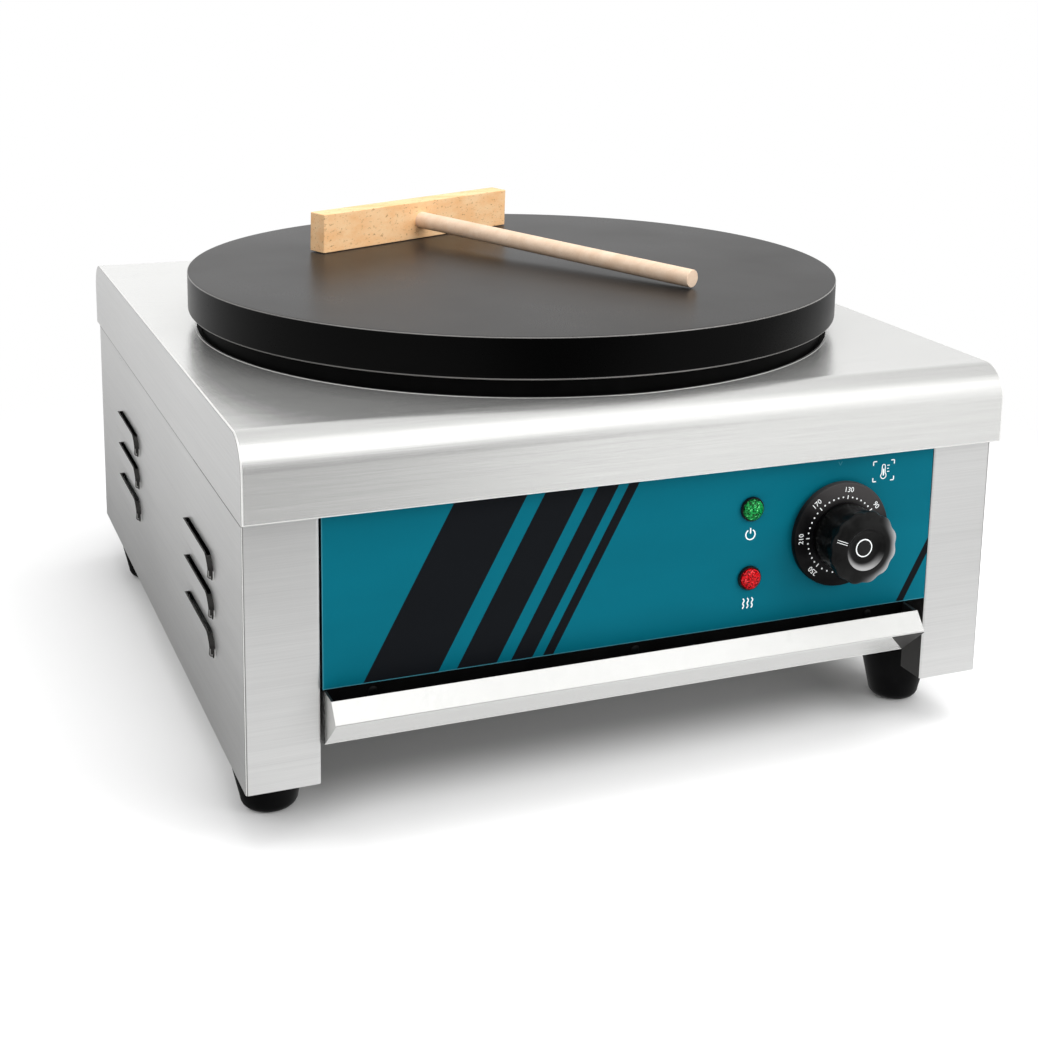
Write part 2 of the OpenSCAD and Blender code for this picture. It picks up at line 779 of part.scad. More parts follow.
module thermostat_knob() {
    r = knob_d / 2;
    color("black") facing_front(dial_x, dial_front_y, controls_z) difference() {
        rotate_extrude() difference() {
            union() {
                polygon([[0, 0], [knob_base_d / 2, 0], [r, knob_h - knob_edge_r],
                    [0, knob_h - knob_edge_r]]);
                translate([0, knob_h - knob_edge_r]) square([r - knob_edge_r, knob_edge_r]);
                translate([r - knob_edge_r, knob_h - knob_edge_r]) circle(knob_edge_r);
            }
            polygon([[0, knob_h - knob_dish], [knob_dish_r - knob_dish, knob_h - knob_dish],
                [knob_dish_r, knob_h + weld], [0, knob_h + weld]]);
        }
        for (i = [0:knob_grooves - 1]) rotate([0, 0, i * 360 / knob_grooves])
            translate([r + knob_groove_r - knob_groove_depth, 0, knob_groove_z])
                cylinder(h = knob_h, r = knob_groove_r);
        translate([0, 0, -knob_bore_room])
            cylinder(h = knob_bore_l + 2 * knob_bore_room, r = spindle_d / 2 + spindle_fit);
    }
}

module thermostat_bulb() {
    color("goldenrod") translate([-sensor_l / 2, plate_y, bulb_z]) rotate([0, 90, 0])
        cylinder(h = sensor_l, d = sensor_d);
}

module bulb_clip() {
    w = sensor_d + 2 * clip_margin;
    color("silver") difference() {
        block(-w / 2, w / 2, plate_y - w / 2, plate_y + w / 2, clamp_top_z, bulb_z);
        translate([-w, plate_y, bulb_z]) rotate([0, 90, 0]) cylinder(h = 2 * w, d = sensor_d + 2 * weld);
    }
}

module thermostat_capillary() {
    switch_back_y = panel_back_y + thermostat_l;
    color("goldenrod") wire([
        [sensor_l / 2, plate_y, bulb_z],
        [capillary_x, plate_y, bulb_z],
        [capillary_x, plate_y, capillary_z],
        [dial_x, switch_back_y + capillary_bend, capillary_z],
        [dial_x, switch_back_y - capillary_in, capillary_z]], capillary_d);
}

// ---- Lamps ----

module lamp(z) {
    color("black") facing_front(lamp_x, panel_face_y, z) difference() {
        union() {
            cylinder(h = lamp_bezel_t, d = lamp_bezel_d);
            translate([0, 0, -lamp_barrel_l]) cylinder(h = lamp_barrel_l, d = lamp_barrel_d);
        }
        translate([0, 0, lamp_seat]) cylinder(h = lamp_bezel_t, r = lamp_lens_d / 2 + weld);
    }
}

module lamp_lens(z, tint) {
    r = lamp_lens_d / 2;
    color(tint) facing_front(lamp_x, panel_face_y - lamp_seat, z) {
        cylinder(h = lamp_lens_out - lamp_seat, r = r);
        translate([0, 0, lamp_lens_out - lamp_seat]) cylinder(h = lamp_dome_h, r1 = r, r2 = r / 2);
    }
}

module lamp_nuts() {
    color("black") for (z = lamps_z) facing_back(lamp_x, panel_back_y, z)
        ring(lamp_bezel_d / 2, lamp_barrel_d / 2 + weld, lamp_nut_h);
}

// ---- Drawer ----

module drawer_tray() {
    w = drawer_half_w;
    color("silver") translate([drawer_x, 0, 0]) {
        block(-w, w, tray_y, tray_back_y, tray_z, tray_z + sheet);
        block(-w, w, tray_back_y - sheet, tray_back_y, tray_z, tray_top_z);
        for (s = [-1, 1]) mirrored(s) block(w - sheet, w, tray_y, tray_back_y, tray_z, tray_top_z);
        difference() {
            block(-w, w, tray_y, tray_y + sheet, tray_z, handle_top_z);
            rivet_holes();
        }
    }
}

module rivet_holes() {
    for (i = [-1:1]) facing_back(i * rivet_pitch, front_y - 1, rivet_z)
        cylinder(h = 3 * sheet + 1, r = rivet_d / 4 + weld);
}

module drawer_front() {
    color("black") translate([drawer_x, 0, 0]) difference() {
        block(-drawer_half_w, drawer_half_w, front_y, tray_y, tray_z, handle_top_z);
        rivet_holes();
    }
}

module drawer_rivets() {
    color("dimgray") translate([drawer_x, 0, 0]) for (i = [-1:1]) {
        facing_front(i * rivet_pitch, front_y, rivet_z) screw(rivet_d, rivet_head_h, rivet_d / 2, 2 * sheet);
        facing_back(i * rivet_pitch, tray_y + sheet, rivet_z) cylinder(h = rivet_head_h, d = rivet_d);
    }
}

// Corners of the handle's side view: x is the reach in front of the drawer, y the height
function handle_corners() = [[0, handle_top_z], [handle_top_d, handle_top_z],
    [handle_reach, handle_top_z - handle_drop], [0, handle_top_z - handle_h]];

// Unit normal of the line from p to q, to its right
function normal_right(p, q) = [q.y - p.y, p.x - q.x] / norm(q - p);

module handle_wall() {
    c = handle_corners();
    n_lip = normal_right(c[1], c[2]);
    n_low = normal_right(c[2], c[3]);
    inner_top = c[1] + [sheet / n_lip.x, 0];
    inner_corner = c[2] + sheet * (n_lip + n_low) / (1 + n_lip * n_low);
    inner_low = c[3] + [0, sheet / n_low.y];
    polygon([c[1], c[2], c[3], inner_low, inner_corner, inner_top]);
}

module drawer_handle() {
    w = drawer_half_w;
    color("silver") translate([drawer_x, front_y, 0]) mirror([0, 1, 0]) {
        along_x(2 * w) handle_wall();
        for (s = [-1, 1]) translate([s * (w - sheet / 2), 0, 0]) along_x(sheet) polygon(handle_corners());
    }
}

module drawer_stops() {
    y0 = tray_back_y + seam;
    z0 = runner_z + runner_t;
    color("silver") for (s = [-1, 1]) mirrored(s) {
        block(stop_x - stop_w, stop_x, y0, y0 + sheet, z0, z0 + stop_h);
        block(stop_x - stop_w, stop_x, y0, y0 + stop_h, z0, z0 + sheet);
    }
}

// ---- Runners and feet ----

module runner(side) {
    y0 = front_y + runner_setback;
    l = wall_back_y - seam - y0;
    color("silver") mirrored(side) difference() {
        along_y(y0, l) {
            translate([side_in_x - runner_w, runner_z]) square([runner_w, runner_t]);
            translate([side_in_x - runner_t, runner_z]) square([runner_t, runner_web_h]);
            translate([pillar_in_x - runner_t, runner_z]) square([runner_t, runner_guide_h]);
        }
        for (y = feet_y) translate([foot_x, y, runner_z - 1])
            cylinder(h = runner_t + 2, r = stud_d / 2 + stud_fit);
    }
}

module at_feet() {
    for (s = [-1, 1], y = feet_y) translate([s * foot_x, y, 0]) children();
}

module foot_plates() {
    h = foot_top_d / 2;
    color("dimgray") at_feet() difference() {
        block(-h, h, -h, h, foot_h, runner_z);
        translate([0, 0, foot_h - 1]) cylinder(h = foot_plate_t + 2, r = stud_d / 2 + stud_fit);
    }
}

module foot(side, y) {
    r = foot_d / 2;
    e = foot_edge_r;
    color("black") translate([side * foot_x, y, 0]) rotate_extrude() difference() {
        union() {
            square([r - e, e]);
            translate([r - e, e]) circle(e);
            polygon([[0, e], [r, e], [foot_top_d / 2, foot_taper_h], [foot_top_d / 2, foot_h], [0, foot_h]]);
        }
        translate([-r, -1]) square([r, foot_h + 2]);
        translate([0, foot_h - foot_stud_depth - 1]) square([stud_d / 2 + stud_fit, foot_stud_depth + 2]);
    }
}

module foot_studs() {
    nut_z = runner_z + runner_t;
    stud_z = foot_h - foot_stud_depth;
    color("silver") at_feet() {
        translate([0, 0, stud_z]) cylinder(h = nut_z + nut_h + stud_end - stud_z, d = stud_d);
        translate([0, 0, nut_z]) hex_nut(nut_w, nut_h, stud_d / 2 - weld);
    }
}

// ---- Rear and electrics ----

module cable_gland() {
    color("black") difference() {
        facing_back(gland_x, back_y, gland_z) {
            cylinder(h = gland_reach - gland_cap_l, d = gland_d, $fn = 6);
            translate([0, 0, gland_reach - gland_cap_l])
                cylinder(h = gland_cap_l, d1 = gland_cap_d[0], d2 = gland_cap_d[1]);
            translate([0, 0, -gland_shank_l]) cylinder(h = gland_shank_l, r = gland_shank_r);
        }
        facing_back(gland_x, back_y - gland_shank_l - 1, gland_z)
            cylinder(h = gland_shank_l + gland_reach + 2, r = cord_d / 2 + cord_fit);
    }
}

module gland_locknut() {
    color("black") facing_front(gland_x, back_y - sheet, gland_z)
        hex_nut(gland_d, gland_nut_h, gland_shank_r + weld);
}

module terminal_block() {
    color("white") difference() {
        block(lamp_x - terminal_w / 2, lamp_x + terminal_w / 2, terminal_y, terminal_y + terminal_l,
            floor_top_z, floor_top_z + terminal_h);
        for (i = [-1.5:1.5]) translate([lamp_x + i * terminal_w / 4, terminal_y + terminal_l / 2, 0])
            translate([0, 0, floor_top_z + terminal_h - terminal_hole_l])
                cylinder(h = terminal_hole_l + 1, d = terminal_hole_d);
    }
}

module earth_stud() {
    color("gold") translate([earth_x, terminal_y, floor_top_z]) {
        cylinder(h = earth_washer_t, d = earth_washer_d);
        translate([0, 0, earth_washer_t]) cylinder(h = earth_stud_l, d = earth_stud_d);
        translate([0, 0, earth_washer_t + earth_nut_gap])
            hex_nut(earth_nut_w, earth_nut_h, earth_stud_d / 2 - weld);
    }
}

module lamp_wiring() {
    start_y = panel_face_y + lamp_barrel_l;
    low_z = floor_top_z + wire_d;
    color("firebrick") for (i = [0, 1]) {
        x = lamp_x + (i == 0 ? -4 : 4) * wire_d / 3;
        wire([
            [x, start_y, lamps_z[i]],
            [x, start_y + wire_bend, lamps_z[i]],
            [x, start_y + wire_bend, low_z],
            [x, terminal_y, low_z]], wire_d);
    }
}

module heater_wiring() {
    color("firebrick") for (i = [0, 1]) {
        from = element_tail_at(element_rings_r[i]);
        x = lamp_x + (i - 0.5) * terminal_w / 4;
        y = terminal_y + terminal_l / 2;
        z = pan_z - (i + 2) * wire_bend;
        wire([
            [from.x, from.y, tail_low_z],
            [from.x, from.y, z],
            [x, y, z],
            [x, y, floor_top_z + terminal_h - terminal_hole_l]], wire_d);
    }
}

module rear_screws() {
    color("silver") for (s = [-1, 1], z = rear_screws_z)
        facing_back(s * rear_screw_x, back_y, z)
            screw(screw_head_d, screw_head_h, screw_d, 2 * sheet + screw_end);
}

module cover_screws() {
    color("silver") for (x = cover_screws_x)
        facing_back(x, cover_back_y, cover_screw_z)
            screw(screw_head_d, screw_head_h, screw_d, back_overhang + sheet + screw_end);
}

// ---- Spreader ----

// The spreader leans on the front edge of its blade and the end of its handle
module spreader_pose() {
    lean = atan((blade_h - stick_d) / 2 / stick_l);
    translate([spreader_at.x, plate_y + spreader_at.y, plate_top_z + seam])
        rotate([0, 0, spreader_turn]) rotate([lean, 0, 0]) children();
}

module spreader_blade() {
    color("burlywood") spreader_pose() difference() {
        block(-blade_l / 2, blade_l / 2, 0, blade_t, 0, blade_h);
        facing_back(0, -1, blade_h / 2) cylinder(h = blade_t + 2, r = stick_d / 2 + stick_fit);
    }
}

module spreader_handle() {
    color("wheat") spreader_pose() facing_front(0, blade_t, blade_h / 2)
        cylinder(h = blade_t + stick_l, d = stick_d);
}

top_cover();
side_panel(-1);  // side_panel_left
side_panel(1);  // side_panel_right
rear_panel();
chamber_floor();
control_panel();
panel_overlay();
cooking_plate();
plate_rim();
plate_bosses();
heat_pan();
pan_collar();
insulation_blanket();
heating_element();
element_clamp();
clamp_nuts();
plate_posts();
post_nuts();
dial_skirt();
thermostat_knob();
thermostat_spindle();
thermostat_body();
thermostat_screws();
thermostat_capillary();
thermostat_bulb();
bulb_clip();
lamp(lamps_z[0]);  // power_lamp
lamp_lens(lamps_z[0], "lime");  // power_lamp_lens
lamp(lamps_z[1]);  // heat_lamp
lamp_lens(lamps_z[1], "red");  // heat_lamp_lens
lamp_nuts();
drawer_tray();
drawer_front();
drawer_handle();
drawer_rivets();
runner(-1);  // runner_left
runner(1);  // runner_right
drawer_stops();
foot_plates();
foot(-1, feet_y[0]);  // foot_front_left
foot(1, feet_y[0]);  // foot_front_right
foot(-1, feet_y[1]);  // foot_rear_left
foot(1, feet_y[1]);  // foot_rear_right
foot_studs();
terminal_block();
safety_cutout();
cable_gland();
gland_locknut();
earth_stud();
lamp_wiring();
heater_wiring();
rear_screws();
cover_screws();
spreader_blade();
spreader_handle();
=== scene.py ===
"""Looks of the electric crepe maker.

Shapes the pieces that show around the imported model, gives every surface its finish and sets up a plain studio.
Sizes and places are in millimetres. +Z is up and the control panel faces -Y.
"""

import logging
import math
from dataclasses import dataclass, field
from enum import Enum
from typing import Callable, Mapping, Sequence, Union

import bmesh
import bpy
from mathutils import Matrix, Vector


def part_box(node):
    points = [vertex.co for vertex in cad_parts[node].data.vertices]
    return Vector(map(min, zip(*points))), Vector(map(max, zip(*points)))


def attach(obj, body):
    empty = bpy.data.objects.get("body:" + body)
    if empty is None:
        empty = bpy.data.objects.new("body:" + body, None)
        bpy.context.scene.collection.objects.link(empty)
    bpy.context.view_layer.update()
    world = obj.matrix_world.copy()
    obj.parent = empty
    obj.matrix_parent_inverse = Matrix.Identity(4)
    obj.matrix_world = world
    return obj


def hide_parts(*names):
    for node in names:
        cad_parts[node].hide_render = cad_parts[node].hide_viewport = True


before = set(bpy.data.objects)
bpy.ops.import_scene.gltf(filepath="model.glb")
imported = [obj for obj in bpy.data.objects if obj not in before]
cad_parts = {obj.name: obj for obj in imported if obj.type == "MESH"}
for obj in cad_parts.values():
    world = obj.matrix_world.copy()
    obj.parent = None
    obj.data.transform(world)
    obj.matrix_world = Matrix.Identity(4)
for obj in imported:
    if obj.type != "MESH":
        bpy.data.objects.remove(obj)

MM = 0.001
CASING, DRAWER, DIAL, SPREADER = "casing", "drawer", "dial", "spreader"

# Turns that point a piece's own Z to the front and to the back
TO_FRONT, TO_BACK = (90, 0, 0), (-90, 0, 0)

log = logging.getLogger("crepe_maker")

Point = Sequence[float]
Colour = tuple[float, float, float]
Pair = tuple[float, float]


class Part(Enum):
    """What an edit-mode selection is made of."""

    VERTS = "VERT"
    EDGES = "EDGE"
    FACES = "FACE"


class Axis(Enum):
    """A direction of the row frame."""

    X = 0
    Y = 1
    Z = 2


def srgb(red: int, green: int, blue: int) -> Colour:
    """Turns a colour as seen on a screen, 0 to 255, into linear light.

    Args:
        red: Red, 0 to 255.
        green: Green, 0 to 255.
        blue: Blue, 0 to 255.

    Returns:
        The colour in linear light, 0 to 1.
    """

    def linear(level: int) -> float:
        """Turns one channel into linear light."""
        v = level / 255
        return v / 12.92 if v <= 0.04045 else ((v + 0.055) / 1.055) ** 2.4

    return linear(red), linear(green), linear(blue)


def dimmed(colour: Colour, share: float) -> Colour:
    """Gives a colour with a share of its light."""
    red, green, blue = (channel * share for channel in colour)
    return red, green, blue


def node_box(node: str) -> tuple[Vector, Vector]:
    """Finds where a CAD node lies.

    Args:
        node: The node's name.

    Returns:
        Its lowest and highest corners in millimetres.
    """
    low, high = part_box(node)
    return Vector(low) / MM, Vector(high) / MM


def node_middle(node: str) -> Vector:
    """Gives the middle of a CAD node's box, in millimetres."""
    low, high = node_box(node)
    return (low + high) / 2


def even(start: float, end: float, steps: int) -> list[float]:
    """Divides a range into even steps, with both its ends."""
    return [start + (end - start) * i / steps for i in range(steps + 1)]


def arc(centre: Pair, radius: float, angles: Sequence[float]) -> list[Pair]:
    """Gives points on a circle.

    Args:
        centre: The circle's centre.
        radius: Its radius.
        angles: The points' angles in degrees, from the first axis to the second.

    Returns:
        The points.
    """
    turns = [math.radians(angle) for angle in angles]
    return [(centre[0] + radius * math.cos(turn), centre[1] + radius * math.sin(turn)) for turn in turns]


# ---- Shader wiring ----


class Value:
    """A value inside a material: Python arithmetic on it adds Math nodes."""

    def __init__(self, shader: "Wiring", socket: bpy.types.NodeSocket) -> None:
        """Wraps an output socket of a node.

        Args:
            shader: The node tree that the socket belongs to.
            socket: The output socket.
        """
        self.shader = shader
        self.socket = socket

    def _math(self, operation: str, left: "Input", right: "Input" = 0.0) -> "Value":
        """Adds one Math node."""
        return self.shader.node("ShaderNodeMath", {"operation": operation}, {0: left, 1: right})

    def __add__(self, other: "Input") -> "Value":
        """Adds."""
        return self._math("ADD", self, other)

    __radd__ = __add__

    def __sub__(self, other: "Input") -> "Value":
        """Subtracts."""
        return self._math("SUBTRACT", self, other)

    def __rsub__(self, other: "Input") -> "Value":
        """Subtracts this value from a number."""
        return self._math("SUBTRACT", other, self)

    def __mul__(self, other: "Input") -> "Value":
        """Multiplies."""
        return self._math("MULTIPLY", self, other)

    __rmul__ = __mul__

    def rise(self, start: float, end: float) -> "Value":
        """Goes smoothly from 0 at start to 1 at end.

        Args:
            start: Value that gives 0.
            end: Value that gives 1.

        Returns:
            The new value.
        """
        return self.shader.node(
            "ShaderNodeMapRange", {"interpolation_type": "SMOOTHSTEP"}, {"Value": self, 1: start, 2: end}
        )


Input = Union[Value, float, Sequence[float]]


class Wiring:
    """A node tree, and the way nodes are added to it."""

    def __init__(self, tree: bpy.types.NodeTree) -> None:
        """Takes a node tree.

        Args:
            tree: The node tree of a material or a world.
        """
        self.tree = tree

    def node(self, kind: str, settings: Mapping, inputs: Mapping, output: Union[int, str] = 0) -> Value:
        """Adds any node.

        Args:
            kind: The node's type.
            settings: Its properties, and "stops" for the (place, colour) pairs of a colour ramp.
            inputs: Values or links of its sockets, by name or number.
            output: The output that is used further on.

        Returns:
            That output.
        """
        made = self.tree.nodes.new(kind)
        for key, setting in settings.items():
            if key == "stops":
                ramp = made.color_ramp
                for i, (place, colour) in enumerate(setting):
                    stop = ramp.elements[i] if i < 2 else ramp.elements.new(place)
                    stop.position, stop.color = place, (*colour, 1)
            else:
                setattr(made, key, setting)
        for key, value in inputs.items():
            if isinstance(value, Value):
                self.tree.links.new(value.socket, made.inputs[key])
            else:
                made.inputs[key].default_value = value
        return Value(self, made.outputs[output])

    def vector(self, operation: str, first: Input, second: Input = (0, 0, 0), output: str = "Value") -> Value:
        """Adds one Vector Math node."""
        return self.node("ShaderNodeVectorMath", {"operation": operation}, {0: first, 1: second}, output)

    def finish(self, shown: Value, output: str) -> None:
        """Links what is shown to the tree's output node."""
        self.tree.links.new(shown.socket, self.tree.nodes[output].inputs["Surface"])


class Shader(Wiring):
    """The node tree of one material, built around a Principled BSDF."""

    def __init__(self, name: str) -> None:
        """Starts a material.

        Args:
            name: The material's name.
        """
        self.material = bpy.data.materials.new(name)
        self.material.use_nodes = True
        super().__init__(self.material.node_tree)
        self.surface = self.tree.nodes["Principled BSDF"]

    def place(self, scale: Point = (1, 1, 1), centre: Point = (0, 0, 0), turn: Point = (0, 0, 0)) -> Value:
        """Gives the object's own coordinates, moved, turned and scaled.

        Args:
            scale: Repeats per metre along each axis.
            centre: Point in millimetres that becomes the origin.
            turn: Turn in degrees around X, Y and Z.

        Returns:
            The coordinates.
        """
        own = self.node("ShaderNodeTexCoord", {}, {}, "Object")
        moved = self.node(
            "ShaderNodeMapping", {}, {"Vector": own, "Location": [-c * MM for c in centre]}
        )
        return self.node(
            "ShaderNodeMapping", {},
            {"Vector": moved, "Rotation": [math.radians(t) for t in turn], "Scale": scale},
        )

    def noise(self, where: Value, detail: float = 2.0, rough: float = 0.5) -> Value:
        """Adds a noise texture.

        Args:
            where: Its coordinates.
            detail: Number of finer layers.
            rough: Weight of the finer layers.

        Returns:
            Its value, about 0.5.
        """
        return self.node(
            "ShaderNodeTexNoise", {}, {"Vector": where, "Scale": 1.0, "Detail": detail, "Roughness": rough}
        )

    def mix(self, share: Input, first: Input, second: Input) -> Value:
        """Mixes two colours.

        Args:
            share: How much of the second colour shows.
            first: First colour.
            second: Second colour.

        Returns:
            The mixed colour.
        """
        full = [(*c, 1) if not isinstance(c, Value) else c for c in (first, second)]
        return self.node("ShaderNodeMix", {"data_type": "RGBA"}, {0: share, 6: full[0], 7: full[1]}, 2)

    def bump(self, height: Value, depth: float, strength: float = 1.0) -> Value:
        """Turns a height into a normal.

        Args:
            height: The height, 0 to 1.
            depth: Depth in millimetres.
            strength: Share of the effect.

        Returns:
            The normal.
        """
        return self.node("ShaderNodeBump", {}, {"Height": height, "Distance": depth * MM, "Strength": strength})

    def set(self, **inputs: Input) -> None:
        """Sets sockets of the surface: Base_Color=... stands for its socket Base Color.

        Args:
            **inputs: Values or links.
        """
        for key, value in inputs.items():
            socket = self.surface.inputs[key.replace("_", " ")]
            if isinstance(value, Value):
                self.tree.links.new(value.socket, socket)
            elif socket.type == "RGBA":
                socket.default_value = (*value, 1)
            else:
                socket.default_value = value


# ---- Finishes ----


@dataclass(frozen=True)
class Finish:
    """A finish: its name, and how it is wired."""

    name: str

    def wire(self, shader: Shader) -> None:
        """Wires the finish into a new material.

        Args:
            shader: The material.
        """
        raise NotImplementedError

    def material(self) -> bpy.types.Material:
        """Makes the finish's material, or finds it.

        Returns:
            The material.
        """
        name = f"finish_{self.name}"
        found = bpy.data.materials.get(name)
        if found:
            return found
        shader = Shader(name)
        self.wire(shader)
        return shader.material


@dataclass(frozen=True)
class BrushedSteel(Finish):
    """Stainless sheet, brushed along one or two directions."""

    grain: tuple[Axis, ...]
    colour: Colour = srgb(233, 233, 232)
    roughness: float = 0.3
    depth: float = 0.05
    metallic: float = 0.8

    def wire(self, shader: Shader) -> None:
        """Draws fine scratches along the grain. Their slopes smear reflections across it.

        Args:
            shader: The material.
        """

        def along(slow: float, fast: float) -> list[float]:
            """Stretches a pattern along the grain."""
            return [slow if axis in self.grain else fast for axis in Axis]

        hairs = shader.noise(shader.place(along(16, 1900)), 3, 0.7)
        streaks = shader.noise(shader.place(along(6, 260)), 3, 0.55)
        clouds = shader.noise(shader.place(along(3, 7)), 2)
        level = hairs * 0.42 + streaks * 0.2 + clouds * 0.38
        shader.set(
            Base_Color=shader.mix(level.rise(0.25, 0.75), dimmed(self.colour, 0.84), self.colour),
            Metallic=self.metallic,
            Roughness=(streaks - 0.5) * 0.06 + (clouds - 0.5) * 0.06 + self.roughness,
            Normal=shader.bump(hairs, self.depth, 1.0),
        )


@dataclass(frozen=True)
class PlainMetal(Finish):
    """Plated, cast or drawn metal with small spots."""

    colour: Colour
    roughness: float = 0.4
    spots: float = 700.0

    def wire(self, shader: Shader) -> None:
        """Draws faint spots in colour and gloss.

        Args:
            shader: The material.
        """
        grains = shader.noise(shader.place((self.spots,) * 3), 3, 0.6)
        clouds = shader.noise(shader.place((60, 60, 60)), 2)
        shader.set(
            Base_Color=shader.mix(grains.rise(0.3, 0.7), dimmed(self.colour, 0.86), self.colour),
            Metallic=1.0,
            Roughness=(clouds - 0.5) * 0.3 + (grains - 0.5) * 0.2 + self.roughness,
            Normal=shader.bump(grains, 0.02, 0.4),
        )


@dataclass(frozen=True)
class SeasonedIron(Finish):
    """Cast iron, seasoned black, with the fine rings that turning leaves."""

    centre: tuple[float, float, float]
    colour: Colour = srgb(34, 33, 32)
    specular: float = 0.075
    roughness: float = 0.3

    def wire(self, shader: Shader) -> None:
        """Draws turning rings, pores and oily clouds.

        Args:
            shader: The material.
        """
        rings = shader.node(
            "ShaderNodeTexWave",
            {"wave_type": "RINGS", "rings_direction": "Z", "wave_profile": "SIN"},
            {"Vector": shader.place(centre=self.centre), "Scale": 260.0, "Distortion": 0.6, "Detail": 2.0,
             "Detail Scale": 60.0}, 1,
        )
        pores = shader.noise(shader.place((1100, 1100, 1100), self.centre), 4, 0.65)
        clouds = shader.noise(shader.place((9, 9, 9), self.centre), 3, 0.55)
        level = clouds * 0.65 + pores * 0.35
        shader.set(
            Base_Color=shader.mix(level.rise(0.36, 0.66), dimmed(self.colour, 0.7), self.colour),
            Roughness=(clouds - 0.5) * 0.14 + (pores - 0.5) * 0.12 + self.roughness,
            Specular_IOR_Level=self.specular,
            Normal=shader.bump(rings * 0.3 + pores * 0.7, 0.012, 0.5),
        )


@dataclass(frozen=True)
class Moulded(Finish):
    """Moulded plastic, rubber or enamel."""

    colour: Colour
    roughness: float = 0.3
    texture: float = 0.01
    coat: float = 0.0
    wear: float = 0.15
    specular: float = 0.3

    def wire(self, shader: Shader) -> None:
        """Draws a fine texture and faint handling marks.

        Args:
            shader: The material.
        """
        skin = shader.noise(shader.place((1300, 1300, 1300)), 3, 0.6)
        marks = shader.noise(shader.place((70, 70, 70)), 3, 0.6)
        light = tuple(c + self.wear * (0.3 - c) * 0.12 for c in self.colour)
        shader.set(
            Base_Color=shader.mix(marks.rise(0.35, 0.7), self.colour, light),
            Roughness=(marks - 0.5) * self.wear + (skin - 0.5) * 0.1 + self.roughness,
            Coat_Weight=self.coat,
            Specular_IOR_Level=self.specular,
            Normal=shader.bump(skin, self.texture, 0.4),
        )


@dataclass(frozen=True)
class PaintedSheen(Moulded):
    """Moulded plastic with a painted sheen: a lighter colour on a ring to one side of its centre, as seen from
    the front.
    """

    centre: tuple[float, float, float] = (0, 0, 0)
    way: Pair = (1.0, 0.0)
    ring: Pair = (0.0, 1.0)
    spread: Pair = (-1.0, 1.0)
    # Colour of the painted sheen
    light: Colour = srgb(150, 150, 150)

    def wire(self, shader: Shader) -> None:
        """Draws the moulded skin with a painted sheen on the ring between two radii, towards one side.

        Args:
            shader: The material.
        """
        super().wire(shader)
        base = shader.surface.inputs["Base Color"].links[0].from_socket
        flat = shader.vector("MULTIPLY", shader.place(centre=self.centre), (1, 0, 1), "Vector")
        unit = shader.vector("NORMALIZE", flat, output="Vector")
        side = shader.vector("DOT_PRODUCT", unit, (self.way[0], 0, self.way[1]))
        low, high = (edge * MM for edge in self.ring)
        share = shader.vector("LENGTH", flat).rise(low, high) * side.rise(*self.spread)
        shader.set(Base_Color=shader.mix(share, Value(shader, base), self.light))


@dataclass(frozen=True)
class PrintedSheet(Finish):
    """Printed plastic sheet with a faint grain under a satin film."""

    colour: Colour
    roughness: float = 0.4
    specular: float = 0.025

    def wire(self, shader: Shader) -> None:
        """Draws the print's fine speckle and the film's slow waves.

        Args:
            shader: The material.
        """
        speckle = shader.noise(shader.place((2200, 2200, 2200)), 2, 0.6)
        waves = shader.noise(shader.place((12, 12, 40)), 2)
        level = speckle * 0.35 + waves * 0.65
        shader.set(
            Base_Color=shader.mix(level.rise(0.3, 0.7), dimmed(self.colour, 0.9), self.colour),
            Roughness=(waves - 0.5) * 0.12 + (speckle - 0.5) * 0.08 + self.roughness,
            Specular_IOR_Level=self.specular,
            Normal=shader.bump(speckle, 0.004, 0.3),
        )


@dataclass(frozen=True)
class Lens(Finish):
    """Coloured lens with a prismatic inside, drawn as cells in painted shades with painted glints."""

    colour: Colour
    painted_glint: Colour
    glow: float
    cells: float = 1500.0

    def wire(self, shader: Shader) -> None:
        """Draws small cells, each in its own painted shade, the lightest ones as painted glints.

        Args:
            shader: The material.
        """
        placed = {"Vector": shader.place(), "Scale": self.cells}
        colours = shader.node("ShaderNodeTexVoronoi", {"feature": "F1"}, placed, "Color")
        shade = shader.node("ShaderNodeSeparateColor", {}, {"Color": colours}, "Red")
        edges = shader.node("ShaderNodeTexVoronoi", {"feature": "DISTANCE_TO_EDGE"}, placed, "Distance")
        deep = dimmed(self.colour, 0.12)
        body = shader.mix(shade.rise(0.1, 0.75), deep, self.colour)
        # The lightest cells take the painted glint colour, which also glows with the lens
        shown = shader.mix(shade.rise(0.88, 1.0), body, self.painted_glint)
        shader.set(
            Base_Color=shown,
            Roughness=0.25 + shade * 0.1,
            Specular_IOR_Level=0.2,
            Emission_Color=shown,
            Emission_Strength=self.glow,
            Normal=shader.bump(edges, 0.25, 0.5),
        )


